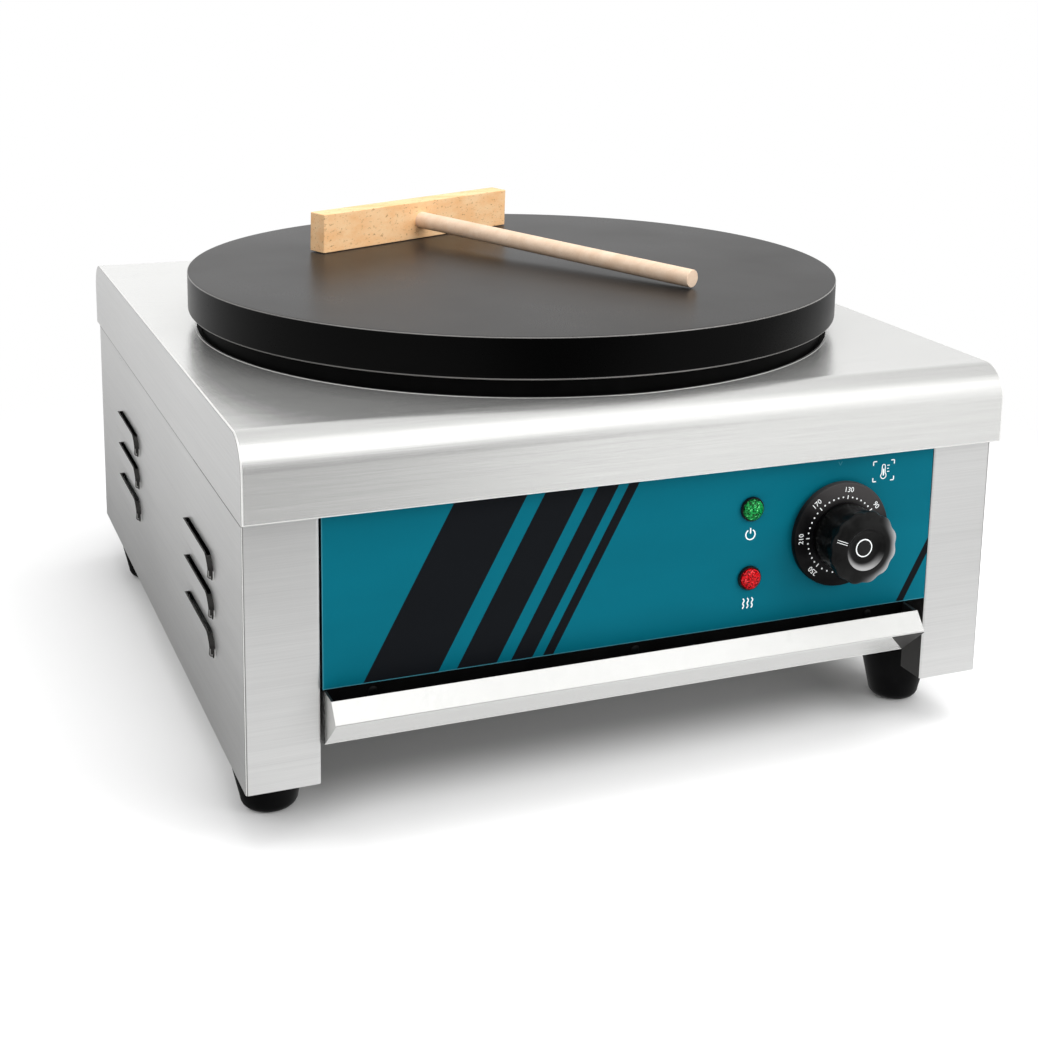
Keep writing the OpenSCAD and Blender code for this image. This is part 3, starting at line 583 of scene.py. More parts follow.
@dataclass(frozen=True)
class Timber(Finish):
    """Unfinished light wood, with its grain along one direction of the piece."""

    turn: tuple[float, float, float]
    centre: tuple[float, float, float]
    colour: Colour
    deep: Colour
    flecks: float = 0.5
    fleck: Colour = srgb(150, 98, 52)

    def wire(self, shader: Shader) -> None:
        """Draws growth lines, fibres and flecks, long along the piece's X.

        Args:
            shader: The material.
        """
        rings = shader.noise(shader.place((6, 130, 130), self.centre, self.turn), 3, 0.5)
        fibres = shader.noise(shader.place((40, 1500, 1500), self.centre, self.turn), 3, 0.6)
        spots = shader.noise(shader.place((260, 620, 620), self.centre, self.turn), 3, 0.7)
        body = shader.mix((rings * 0.7 + fibres * 0.3).rise(0.32, 0.68), self.deep, self.colour)
        mark = spots.rise(0.58, 0.7) * self.flecks
        shader.set(
            Base_Color=shader.mix(mark, body, self.fleck),
            Roughness=(fibres - 0.5) * 0.2 + 0.62,
            Specular_IOR_Level=0.3,
            Normal=shader.bump(fibres * 0.6 + spots * 0.4, 0.06, 0.4),
        )


@dataclass(frozen=True)
class Wool(Finish):
    """Matted mineral wool."""

    colour: Colour = srgb(214, 205, 186)

    def wire(self, shader: Shader) -> None:
        """Draws tangled fibres.

        Args:
            shader: The material.
        """
        fibres = shader.noise(shader.place((420, 420, 900)), 5, 0.75)
        shader.set(
            Base_Color=shader.mix(fibres.rise(0.3, 0.7), dimmed(self.colour, 0.6), self.colour),
            Roughness=0.95,
            Normal=shader.bump(fibres, 0.8, 0.8),
        )


STEEL_ACROSS = BrushedSteel("steel_brushed_across", (Axis.X,), srgb(238, 238, 236), 0.24)
# Painted shade: a dimmer copy of the brushed steel for the drawer handle's lip, which tones down its highlight
STEEL_LIP_PAINTED_SHADE = BrushedSteel("steel_lip_painted_shade", (Axis.Z,), srgb(225, 225, 223), 0.24)
STEEL_LEVEL = BrushedSteel("steel_brushed_level", (Axis.X, Axis.Y))
STEEL_SHADE = BrushedSteel("steel_shaded", (Axis.Z,), srgb(58, 57, 56), 0.5)
# Painted half shade: a darker steel beside painted highlights on edges and folds, and in the middle of the
# louvres' shaded ends
STEEL_PAINTED_HALF_SHADE = BrushedSteel("steel_painted_half_shade", (Axis.Z,), srgb(150, 149, 148))
# Painted highlight: a lighter, less metallic steel for edges, folds and hems that should catch the light
STEEL_PAINTED_HIGHLIGHT = BrushedSteel("steel_painted_highlight", (Axis.X,), srgb(246, 246, 244), metallic=0.5)
# Painted shadow under the cover's side skirt, on the front part of the side walls
SEAM_PAINTED_SHADOW = BrushedSteel("seam_shadow", (Axis.X, Axis.Y), srgb(84, 83, 82), metallic=0.3)
# Fainter painted shadow under the cover's side skirt, on the back part of the side walls
SEAM_PAINTED_FAINT_SHADOW = BrushedSteel("seam_painted_faint_shadow", (Axis.X, Axis.Y), srgb(158, 158, 157), metallic=0.6)
GALVANISED = PlainMetal("galvanised_sheet", srgb(176, 178, 180), 0.45, 240)
ZINC = PlainMetal("zinc_plating", srgb(196, 196, 192), 0.32)
DARK_RIVET = PlainMetal("dark_rivet", srgb(40, 40, 40), 0.5)
HEATER_TUBE = PlainMetal("oxidised_tube", srgb(104, 98, 96), 0.55)
COPPER = PlainMetal("drawn_copper", srgb(206, 132, 84), 0.35)
BRASS = PlainMetal("turned_brass", srgb(214, 178, 96), 0.3)
ENAMEL = Moulded("black_enamel", srgb(4, 4, 4), 0.6, 0.01, 0.0, 0.03, 0.05)
KNOB_GLOSSY = Moulded("knob_glossy", srgb(3, 3, 3), 0.3, 0.0, 0.0, 0.03, 0.22)
KNOB_SATIN = Moulded("knob_satin", srgb(5, 5, 5), 0.38, 0.004, specular=0.3)
BEZEL_BLACK = Moulded("bezel_black", srgb(10, 10, 10), 0.28)
RUBBER = Moulded("black_rubber", srgb(3, 3, 4), 0.45, 0.02, 0.0, 0.05, 0.06)
NYLON = Moulded("gland_nylon", srgb(24, 24, 25), 0.42, 0.02)
STEATITE = Moulded("steatite", srgb(226, 219, 196), 0.5, 0.03)
CERAMIC = Moulded("white_ceramic", srgb(238, 234, 222), 0.3, 0.02, 0.3)
SILICONE = Moulded("wire_silicone", srgb(150, 42, 30), 0.5)
INK_WHITE = Moulded("white_ink", srgb(236, 240, 240), 0.5, 0.0, specular=0.1)
TEAL = PrintedSheet("teal_film", srgb(5, 94, 111))
PANEL_BLACK = PrintedSheet("black_film", srgb(19, 21, 24))
# Paler teal: the ink of the index mark, and a painted highlight along the printed sheet's left and bottom edges
TEAL_INK_AND_EDGE_HIGHLIGHT = PrintedSheet("teal_ink_and_edge_highlight", srgb(58, 124, 138))
# Each lens's second colour is its painted glint
GREEN = Lens("green_lens", srgb(4, 138, 62), srgb(100, 215, 130), 0.05)
RED = Lens("red_lens", srgb(196, 3, 16), srgb(236, 70, 74), 0.06)
WOOL = Wool("mineral_wool")


# ---- The bench ----


@dataclass(frozen=True)
class Spot:
    """Where an edge, face or vertex is, and which way it runs or faces."""

    at: Vector
    way: Vector

    def from_axis(self, x: float, y: float) -> float:
        """Gives the distance from the upright axis through (x, y)."""
        return math.hypot(self.at.x - x, self.at.y - y)

    def angle(self) -> float:
        """Gives the angle around Z in degrees, from +X."""
        return math.degrees(math.atan2(self.at.y, self.at.x))


def clear_selection() -> None:
    """Leaves edit mode and deselects everything."""
    if bpy.context.object and bpy.context.object.mode != "OBJECT":
        bpy.ops.object.mode_set(mode="OBJECT")
    bpy.ops.object.select_all(action="DESELECT")


class Workpiece:
    """A mesh that is shaped with Blender's own tools."""

    def __init__(self, name: str) -> None:
        """Takes the new, active object onto the bench.

        Args:
            name: The piece's name.
        """
        self.obj = bpy.context.object
        self.rename(name)

    def rename(self, name: str) -> None:
        """Names the object and its mesh."""
        self.obj.name = self.obj.data.name = name

    # -- starts --

    @classmethod
    def block(cls, name: str, low: Point, high: Point) -> "Workpiece":
        """Starts from a cube between two corners.

        Args:
            name: The piece's name.
            low: Lowest corner.
            high: Highest corner.

        Returns:
            The workpiece.
        """
        clear_selection()
        bpy.ops.mesh.primitive_cube_add(
            size=1, location=[(a + b) / 2 * MM for a, b in zip(low, high)],
            scale=[(b - a) * MM for a, b in zip(low, high)],
        )
        piece = cls(name)
        piece.settle()
        return piece

    @classmethod
    def turned(cls, name: str, profile: Sequence[Pair], sides: int) -> "Workpiece":
        """Turns a profile around Z, raising and widening a circle from point to point.

        Args:
            name: The piece's name.
            profile: (radius, height) points. Radius 0 at an end closes the piece there in a point.
            sides: Number of sides.

        Returns:
            The workpiece.
        """
        clear_selection()
        points = list(profile)
        first = points[0] if points[0][0] == 0 else None
        ring = points[1:] if first else points
        radius, height = ring[0]
        bpy.ops.mesh.primitive_circle_add(vertices=sides, radius=radius * MM, location=(0, 0, height * MM))
        piece = cls(name)
        piece.settle()
        piece.edit()
        bpy.ops.mesh.select_mode(type="EDGE")
        piece.pick_all()
        if first:
            piece.extrude_edges((0, 0, first[1] - height))
            bpy.ops.mesh.merge(type="CENTER")
            piece.pick(Part.VERTS, lambda s: s.from_axis(0, 0) > radius / 2)
            bpy.ops.mesh.select_mode(type="EDGE")
        for (r0, z0), (r1, z1) in zip(ring, ring[1:]):
            piece.extrude_edges((0, 0, z1 - z0))
            if r1 == 0:
                bpy.ops.mesh.merge(type="CENTER")
            elif r1 != r0:
                piece.resize((r1 / r0, r1 / r0, 1), (0, 0, z1))
        piece.mend()
        return piece

    @classmethod
    def lettering(cls, name: str, text: str, height: float, thickness: float) -> "Workpiece":
        """Starts from flat lettering, centred on the origin and standing on the XY plane.

        Args:
            name: The piece's name.
            text: The characters.
            height: Height of a figure.
            thickness: Thickness of the ink.

        Returns:
            The workpiece.
        """
        clear_selection()
        bpy.ops.object.text_add()
        words = bpy.context.object
        words.data.body = text
        words.data.size = height / 0.69 * MM
        words.data.align_x, words.data.align_y = "CENTER", "CENTER"
        words.data.extrude = thickness / 2 * MM
        words.data.resolution_u = 4
        bpy.ops.object.convert(target="MESH")
        piece = cls(name)
        piece.mend()
        return piece

    @staticmethod
    def gather(name: str, pieces: Sequence["Workpiece"]) -> "Workpiece":
        """Joins pieces into one and names it.

        Args:
            name: The joined piece's name.
            pieces: The pieces. The first takes up the others.

        Returns:
            The workpiece.
        """
        joined = pieces[0].join(pieces[1:])
        joined.rename(name)
        return joined

    # -- modes and choices --

    def edit(self) -> None:
        """Opens the mesh in edit mode."""
        bpy.context.view_layer.objects.active = self.obj
        if self.obj.mode != "EDIT":
            self.obj.select_set(True)
            bpy.ops.object.mode_set(mode="EDIT")

    def rest(self) -> None:
        """Returns to object mode with only this piece selected."""
        if self.obj.mode == "EDIT":
            bpy.ops.object.mode_set(mode="OBJECT")
        clear_selection()
        self.obj.select_set(True)
        bpy.context.view_layer.objects.active = self.obj

    def pick_all(self) -> None:
        """Selects the whole mesh in edit mode."""
        self.edit()
        bpy.ops.mesh.select_all(action="SELECT")

    def pick(self, part: Part, test: Callable[[Spot], bool]) -> int:
        """Selects what passes a test, by its place and direction.

        Args:
            part: Vertices, edges or faces.
            test: Says whether one of them is taken.

        Returns:
            How many were taken.
        """
        self.edit()
        bpy.ops.mesh.select_mode(type=part.value)
        bpy.ops.mesh.select_all(action="DESELECT")
        mesh = bmesh.from_edit_mesh(self.obj.data)
        mesh.normal_update()
        count = 0
        for item in {Part.VERTS: mesh.verts, Part.EDGES: mesh.edges, Part.FACES: mesh.faces}[part]:
            if part is Part.VERTS:
                spot = Spot(item.co / MM, item.normal)
            elif part is Part.EDGES:
                a, b = (v.co / MM for v in item.verts)
                spot = Spot((a + b) / 2, (b - a).normalized())
            else:
                spot = Spot(item.calc_center_median() / MM, item.normal)
            if test(spot):
                item.select_set(True)
                count += 1
        mesh.select_flush_mode()
        bmesh.update_edit_mesh(self.obj.data)
        return count

    # -- shaping --

    def bevel(self, width: float, segments: int) -> None:
        """Rounds the chosen edges."""
        bpy.ops.mesh.bevel(offset=width * MM, segments=segments, affect="EDGES", offset_type="OFFSET")

    def extrude_edges(self, way: Point) -> None:
        """Draws the chosen edges out along a vector."""
        bpy.ops.mesh.extrude_edges_move(TRANSFORM_OT_translate={"value": [w * MM for w in way]})

    def extrude_faces(self, way: Point) -> None:
        """Draws the chosen faces out along a vector."""
        bpy.ops.mesh.extrude_region_move(TRANSFORM_OT_translate={"value": [w * MM for w in way]})

    def move(self, way: Point) -> None:
        """Moves what is chosen."""
        bpy.ops.transform.translate(value=[w * MM for w in way])

    def resize(self, factors: Point, centre: Point) -> None:
        """Resizes what is chosen about a point."""
        bpy.ops.transform.resize(value=factors, center_override=[c * MM for c in centre])

    def delete_faces(self, test: Callable[[Spot], bool]) -> None:
        """Deletes the faces that pass a test."""
        if self.pick(Part.FACES, test):
            bpy.ops.mesh.delete(type="FACE")

    def bisect(self, at: Point, normal: Point, clear_above: bool = False, fill: bool = False) -> None:
        """Cuts the whole mesh by a plane.

        Args:
            at: Point on the plane.
            normal: The plane's normal.
            clear_above: Whether what lies on the normal's side goes.
            fill: Whether the cut is closed.
        """
        self.pick_all()
        bpy.ops.mesh.bisect(
            plane_co=[a * MM for a in at], plane_no=normal, clear_outer=clear_above, use_fill=fill,
            threshold=1e-7,
        )

    def mend(self) -> None:
        """Merges doubles and turns all faces outwards."""
        self.pick_all()
        bpy.ops.mesh.remove_doubles(threshold=1e-6)
        bpy.ops.mesh.normals_make_consistent(inside=False)
        self.rest()

    def modify(self, kind: str, **settings: object) -> None:
        """Adds a modifier and applies it.

        Args:
            kind: The modifier's type.
            **settings: Its settings.
        """
        self.rest()
        modifier = self.obj.modifiers.new(kind.lower(), kind)
        for key, setting in settings.items():
            setattr(modifier, key, setting)
        bpy.ops.object.modifier_apply(modifier=modifier.name)

    def thicken(self, thickness: float) -> None:
        """Gives an open sheet its thickness, inwards."""
        self.modify("SOLIDIFY", thickness=thickness * MM, offset=-1.0, use_even_offset=True)

    def soften(self, width: float, segments: int = 2, angle: float = 32.0) -> None:
        """Rounds all sharp edges a little."""
        self.modify(
            "BEVEL", width=width * MM, segments=segments, limit_method="ANGLE", angle_limit=math.radians(angle),
            use_clamp_overlap=True,
        )

    def cut(self, tool: "Workpiece") -> None:
        """Cuts away what a tool covers, and discards the tool.

        Args:
            tool: The piece that cuts.
        """
        tool.rest()
        self.modify("BOOLEAN", operation="DIFFERENCE", object=tool.obj, solver="EXACT")
        bpy.data.objects.remove(tool.obj)

    def settle(self) -> None:
        """Puts the object's place, turn and scale into its mesh."""
        self.rest()
        bpy.ops.object.transform_apply(location=True, rotation=True, scale=True)

    def put(self, at: Point = (0, 0, 0), turn: Point = (0, 0, 0)) -> "Workpiece":
        """Turns the piece by degrees around X, Y and Z, then moves it.

        Args:
            at: Where its origin goes.
            turn: The turns.

        Returns:
            The workpiece.
        """
        self.rest()
        self.obj.rotation_euler = [math.radians(t) for t in turn]
        self.obj.location = [a * MM for a in at]
        self.settle()
        return self

    def copy(self, name: str) -> "Workpiece":
        """Makes a copy with its own mesh.

        Args:
            name: The copy's name.

        Returns:
            The copy.
        """
        self.rest()
        bpy.ops.object.duplicate(linked=False)
        return Workpiece(name)

    def mirror(self, axis: Axis) -> "Workpiece":
        """Mirrors the piece across the origin.

        Args:
            axis: The direction that turns round.

        Returns:
            The workpiece.
        """
        self.rest()
        self.obj.scale = [-1 if a is axis else 1 for a in Axis]
        self.settle()
        self.pick_all()
        bpy.ops.mesh.flip_normals()
        self.rest()
        return self

    def join(self, others: Sequence["Workpiece"]) -> "Workpiece":
        """Joins other pieces to this one.

        Args:
            others: The pieces that are taken up.

        Returns:
            The workpiece.
        """
        self.rest()
        for other in others:
            other.obj.select_set(True)
        bpy.context.view_layer.objects.active = self.obj
        bpy.ops.object.join()
        return self

    def paint(self, finish: Finish, test: Callable[[Spot], bool]) -> None:
        """Gives the faces that pass a test a second finish.

        Args:
            finish: The finish.
            test: Says by place and direction whether a face is taken.
        """
        mesh = self.obj.data
        mesh.materials.append(finish.material())
        for face in mesh.polygons:
            if test(Spot(face.center / MM, face.normal)):
                face.material_index = len(mesh.materials) - 1

    def done(
        self, body: str, slot: str, finish: Finish, replaces: Sequence[str] = (), smooth: float = 35.0,
        flat_first: bool = True,
    ) -> "Workpiece":
        """Shades and dresses the piece and lets it ride on its body.

        Args:
            body: CAD body that it moves with.
            slot: A material slot's name; not used.
            finish: Its finish, for faces that have none yet.
            replaces: CAD nodes that it stands for.
            smooth: Angle in degrees above which an edge stays sharp.
            flat_first: Whether large faces keep their own normal at rounded edges.

        Returns:
            The workpiece.
        """
        self.rest()
        bpy.ops.object.shade_smooth_by_angle(angle=math.radians(smooth))
        if flat_first:
            self.modify("WEIGHTED_NORMAL", keep_sharp=True)
        if not self.obj.data.materials:
            self.obj.data.materials.append(finish.material())
        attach(self.obj, body)
        if replaces:
            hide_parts(*replaces)
        log.info("%s: %d faces, rides on %s", self.obj.name, len(self.obj.data.polygons), body)
        return self


# ---- Sub-assemblies ----


@dataclass
class Cover:
    """The top cover: bent at front and back, with skirts all round and a lipped hole."""

    bend: float = 18.5
    side_edge: float = 1.1
    sheet: float = 1.2
    lip_room: float = 1.0
    lip: float = 0.2
    hole: float = 195.0
    hem_round: float = 0.7
    front_hem: float = 7.4
    back_hem: float = 3.4

    def build(self) -> None:
        """Models the cover as one folded sheet."""
        low, high = node_box("top_cover")
        centre = node_middle("cooking_plate")
        top = high.z - self.lip_room
        bore = self.hole + self.sheet

        def front_foot(s: Spot) -> bool:
            """Says whether an edge runs along the foot of the front skirt."""
            return abs(s.way.x) > 0.9 and s.at.z < low.z + 0.1 and s.at.y < low.y + 0.1

        def in_bore(s: Spot) -> bool:
            """Says whether a face belongs to the wall of the hole."""
            return (abs(s.way.z) < 0.1 and s.from_axis(centre.x, centre.y) < bore + 0.5
                    and s.at.y > low.y + 1 and abs(s.at.x) < high.x - 5)

        shell = Workpiece.block("cover_shell", low, (high.x, high.y, top))
        shell.pick(Part.EDGES, lambda s: abs(s.way.x) > 0.9 and s.at.z > top - 1)
        shell.bevel(self.bend, 20)
        shell.pick(Part.EDGES, lambda s: abs(s.at.x) > high.x - 0.1 and s.at.z > low.z + 1)
        shell.bevel(self.side_edge, 5)
        shell.rest()
        under, over = low.z - 5, top + 5
        drill = Workpiece.turned("drill", [(0, under), (bore, under), (bore, over), (0, over)], 160)
        drill.put((centre.x, centre.y, 0))
        shell.cut(drill)
        shell.delete_faces(lambda s: s.at.z < low.z + 0.1 or in_bore(s))
        shell.pick(Part.EDGES, lambda s: s.at.z > top - 1 and abs(s.from_axis(centre.x, centre.y) - bore) < 0.3)
        shell.extrude_edges((0, 0, self.lip))
        shell.pick(Part.EDGES, front_foot)
        shell.extrude_edges((0, self.front_hem, 0))
        shell.pick(Part.EDGES, lambda s: abs(s.way.x) > 0.9 and s.at.z < low.z + 0.1 and s.at.y > high.y - 0.1)
        shell.extrude_edges((0, -self.back_hem, 0))
        shell.pick(Part.EDGES, front_foot)
        shell.bevel(self.hem_round, 3)
        shell.rest()
        shell.thicken(self.sheet)
        shell.soften(0.22)
        shell.done(CASING, "stainless", STEEL_ACROSS, ["top_cover"])
        side, hem_y, hem_z = high.x - self.side_edge, low.y + self.hem_round, low.z + self.hem_round
        shell.paint(STEEL_LEVEL, lambda s: abs(s.way.x) > 0.98)
        # Painted half shade and painted highlight on the facets of the rounded side edges
        shell.paint(STEEL_PAINTED_HALF_SHADE, lambda s: abs(s.at.x) > side and 0.75 < abs(s.way.x) < 0.98)
        shell.paint(STEEL_PAINTED_HIGHLIGHT, lambda s: abs(s.at.x) > side and 0.1 < abs(s.way.x) < 0.75)
        # Painted highlight along the rounded foot of the front skirt
        shell.paint(STEEL_PAINTED_HIGHLIGHT, lambda s: s.at.z < hem_z and s.at.y < hem_y and max(s.way.y, s.way.z) < -0.1)


@dataclass
class SidePanels:
    """The side walls, folded round into the front pillars, with louvres."""

    sheet: float = 1.2
    fold: float = 1.6
    flange: float = 20.0
    top_round: float = 13.0
    top_gap: float = 0.3
    louvre_length: float = 76.0
    louvre_height: float = 13.0
    louvre_out: float = 4.0
    hood_out: float = 3.0
    shoulder: Pair = (6.5, 5.5)
    # Where the painted shadow under the skirt turns faint, towards the back
    seam_end: float = -105.0
    louvre_wall: float = 0.9
    louvre_pitch: float = 21.8
    louvre_top: float = 134.0
    louvre_rows: int = 3
    columns: Pair = (108.0, 341.0)
    pillar_inner: float = 180.0
    # Height of the painted shadow strip under the cover's skirt
    shadow: float = 3.2

    def _pocket(self, name: str, inset: float, rise: float) -> Workpiece:
        """Models a block with round ends and a round foot, half of it sunk into the wall at x = 0.

        Args:
            name: The block's name.
            inset: How much smaller it is than a louvre, all round.
            rise: Its top's height above a louvre's mouth.

        Returns:
            The block.
        """
        out, half = self.hood_out - inset, self.louvre_length / 2 - inset
        low = inset - self.louvre_height
        length, drop = self.shoulder
        near = 0.01

        def at_end(s: Spot) -> bool:
            """Says whether something lies at one of the block's ends."""
            return abs(s.at.y) > half - near

        pocket = Workpiece.block(name, (-out, -half, low), (out, half, rise))
        for y in (length - half, half - length):
            pocket.bisect((0, y, 0), (0, 1, 0))
        pocket.pick(Part.VERTS, lambda s: at_end(s) and s.at.z > rise - near)
        pocket.move((0, 0, -drop))
        pocket.pick(Part.EDGES, lambda s: abs(s.way.x) > 0.9 and s.at.z > rise - drop - near)
        pocket.bevel(2.4, 3)
        pocket.pick(Part.EDGES, lambda s: abs(s.way.z) > 0.9 and at_end(s))
        pocket.bevel(out * 0.9, 8)
        pocket.pick(Part.EDGES, lambda s: s.at.z < low + near and (abs(s.way.x) < 0.9 or at_end(s)))
        pocket.bevel(out * 0.8, 8)
        return pocket

    def _louvre(self) -> Workpiece:
        """Models one louvre's pressed hood, which stands out to +X from x = 0 and is open at z = 0.

        Returns:
            The hood.
        """
        hood = self._pocket("louvre", 0, 0)
        hood.delete_faces(lambda s: s.way.z > 0.9)
        hood.bisect((-self.sheet / 2, 0, 0), (-1, 0, 0), clear_above=True)
        hood.rest()
        hood.thicken(self.louvre_wall)
        hood.soften(0.15)
        return hood

    def _slot(self) -> Workpiece:
        """Models the tool that opens the wall behind a louvre."""
        return self._pocket("louvre_slot", self.louvre_wall, 0.2)

    def _repeat(self, pattern: Workpiece, x: float, front: float) -> Workpiece:
        """Copies a louvre or a slot to all its places on the wall and joins the copies.

        Args:
            pattern: The louvre or slot.
            x: The wall's outer face.
            front: The wall's front face.

        Returns:
            The joined copies.
        """
        places = [
            (x, front + y, self.louvre_top - row * self.louvre_pitch)
            for y in self.columns for row in range(self.louvre_rows)
        ]
        copies = [pattern.copy(f"{pattern.obj.name}_{i}").put(at) for i, at in enumerate(places[1:])]
        return pattern.put(places[0]).join(copies)

    def _wall(self) -> Workpiece:
        """Models the right wall with its louvres, cut along the lines where its colour changes.

        Returns:
            The wall.
        """
        low, high = node_box("side_panel_right")
        outer = high.x - self.louvre_out
        wall = Workpiece.block(
            "side_wall_right", (self.pillar_inner, low.y, low.z), (outer, high.y, high.z - self.top_gap))
        wall.pick(Part.EDGES, lambda s: abs(s.way.x) > 0.9 and s.at.z > high.z - 1)
        wall.bevel(self.top_round, 8)
        wall.pick(Part.EDGES, lambda s: abs(s.way.z) > 0.9 and s.at.y < low.y + 0.1)
        wall.bevel(self.fold, 4)
        wall.bisect((0, low.y + self.flange, 0), (0, 1, 0))
        wall.delete_faces(
            lambda s: s.at.z < low.z + 0.1 or s.way.y > 0.05
            or (s.way.z > 0.05 and abs(s.way.x) < 0.01)
            or (s.way.x < -0.9 and s.at.y > low.y + self.flange)
        )
        wall.thicken(self.sheet)
        wall.cut(self._repeat(self._slot(), outer, low.y))
        wall.soften(0.2)
        # Cuts that bound the painted shadow under the cover's skirt
        skirt = node_box("top_cover")[0].z
        for z in (skirt, skirt - self.shadow):
            wall.bisect((0, 0, z), (0, 0, 1))
        wall.bisect((0, self.seam_end, 0), (0, 1, 0))
        return wall.join([self._repeat(self._louvre(), outer, low.y)])

    def _dress(self, wall: Workpiece, side: int) -> None:
        """Dresses a wall with painted shadow under the skirt and painted shade and highlight on flange, fold and
        louvres.

        Args:
            wall: The wall.
            side: 1 for the right wall and -1 for the left one.
        """
        low, high = node_box("side_panel_right")
        outer, skirt = high.x - self.louvre_out, node_box("top_cover")[0].z

        def on_fold(s: Spot) -> bool:
            """Says whether a face lies on the fold between wall and pillar."""
            return s.at.x * side > outer - self.fold and s.at.y < low.y + self.fold

        def on_louvre(s: Spot) -> bool:
            """Says whether a face lies on a louvre."""
            return s.at.x * side > outer + 0.05

        wall.done(CASING, "stainless", STEEL_LEVEL, ["side_panel_right" if side > 0 else "side_panel_left"])
        # Painted shade on the inner face of the pillar's flange
        wall.paint(STEEL_SHADE, lambda s: s.way.x * side < -0.9 and s.at.y < low.y + self.flange + 1)
        # Painted shadow on the wall under the cover's skirt: dark in front of seam_end, faint behind it
        for seam, ahead in ((SEAM_PAINTED_FAINT_SHADOW, False), (SEAM_PAINTED_SHADOW, True)):
            wall.paint(seam, lambda s: s.way.x * side > 0.9 and (s.at.y < self.seam_end) is ahead
                       and skirt - self.shadow < s.at.z < skirt)
        # Painted highlight on the middle of the fold, painted half shade on either side
        wall.paint(STEEL_PAINTED_HALF_SHADE, lambda s: on_fold(s) and (
            0.15 < s.way.x * side < 0.5 or 0.9 < s.way.x * side < 0.995))
        wall.paint(STEEL_PAINTED_HIGHLIGHT, lambda s: on_fold(s) and 0.5 < s.way.x * side < 0.9)
        # Painted shade on the louvres' ends, shoulders and undersides, and painted half shade in the middle of
        # their ends
        wall.paint(STEEL_SHADE, lambda s: on_louvre(s) and (
            0.93 < abs(s.way.y) or 0.1 < abs(s.way.y) < 0.55 or s.way.z > 0.25
            or (s.way.z < -0.4 and abs(s.way.y) > 0.1)))
        wall.paint(STEEL_PAINTED_HALF_SHADE, lambda s: on_louvre(s) and -0.4 < s.way.z < 0.25 and 0.55 < abs(s.way.y) < 0.93)

    def build(self) -> None:
        """Models the right wall, mirrors a copy of it to the left and dresses both."""
        right = self._wall()
        left = right.copy("side_wall_left").mirror(Axis.X)
        self._dress(right, 1)
        self._dress(left, -1)


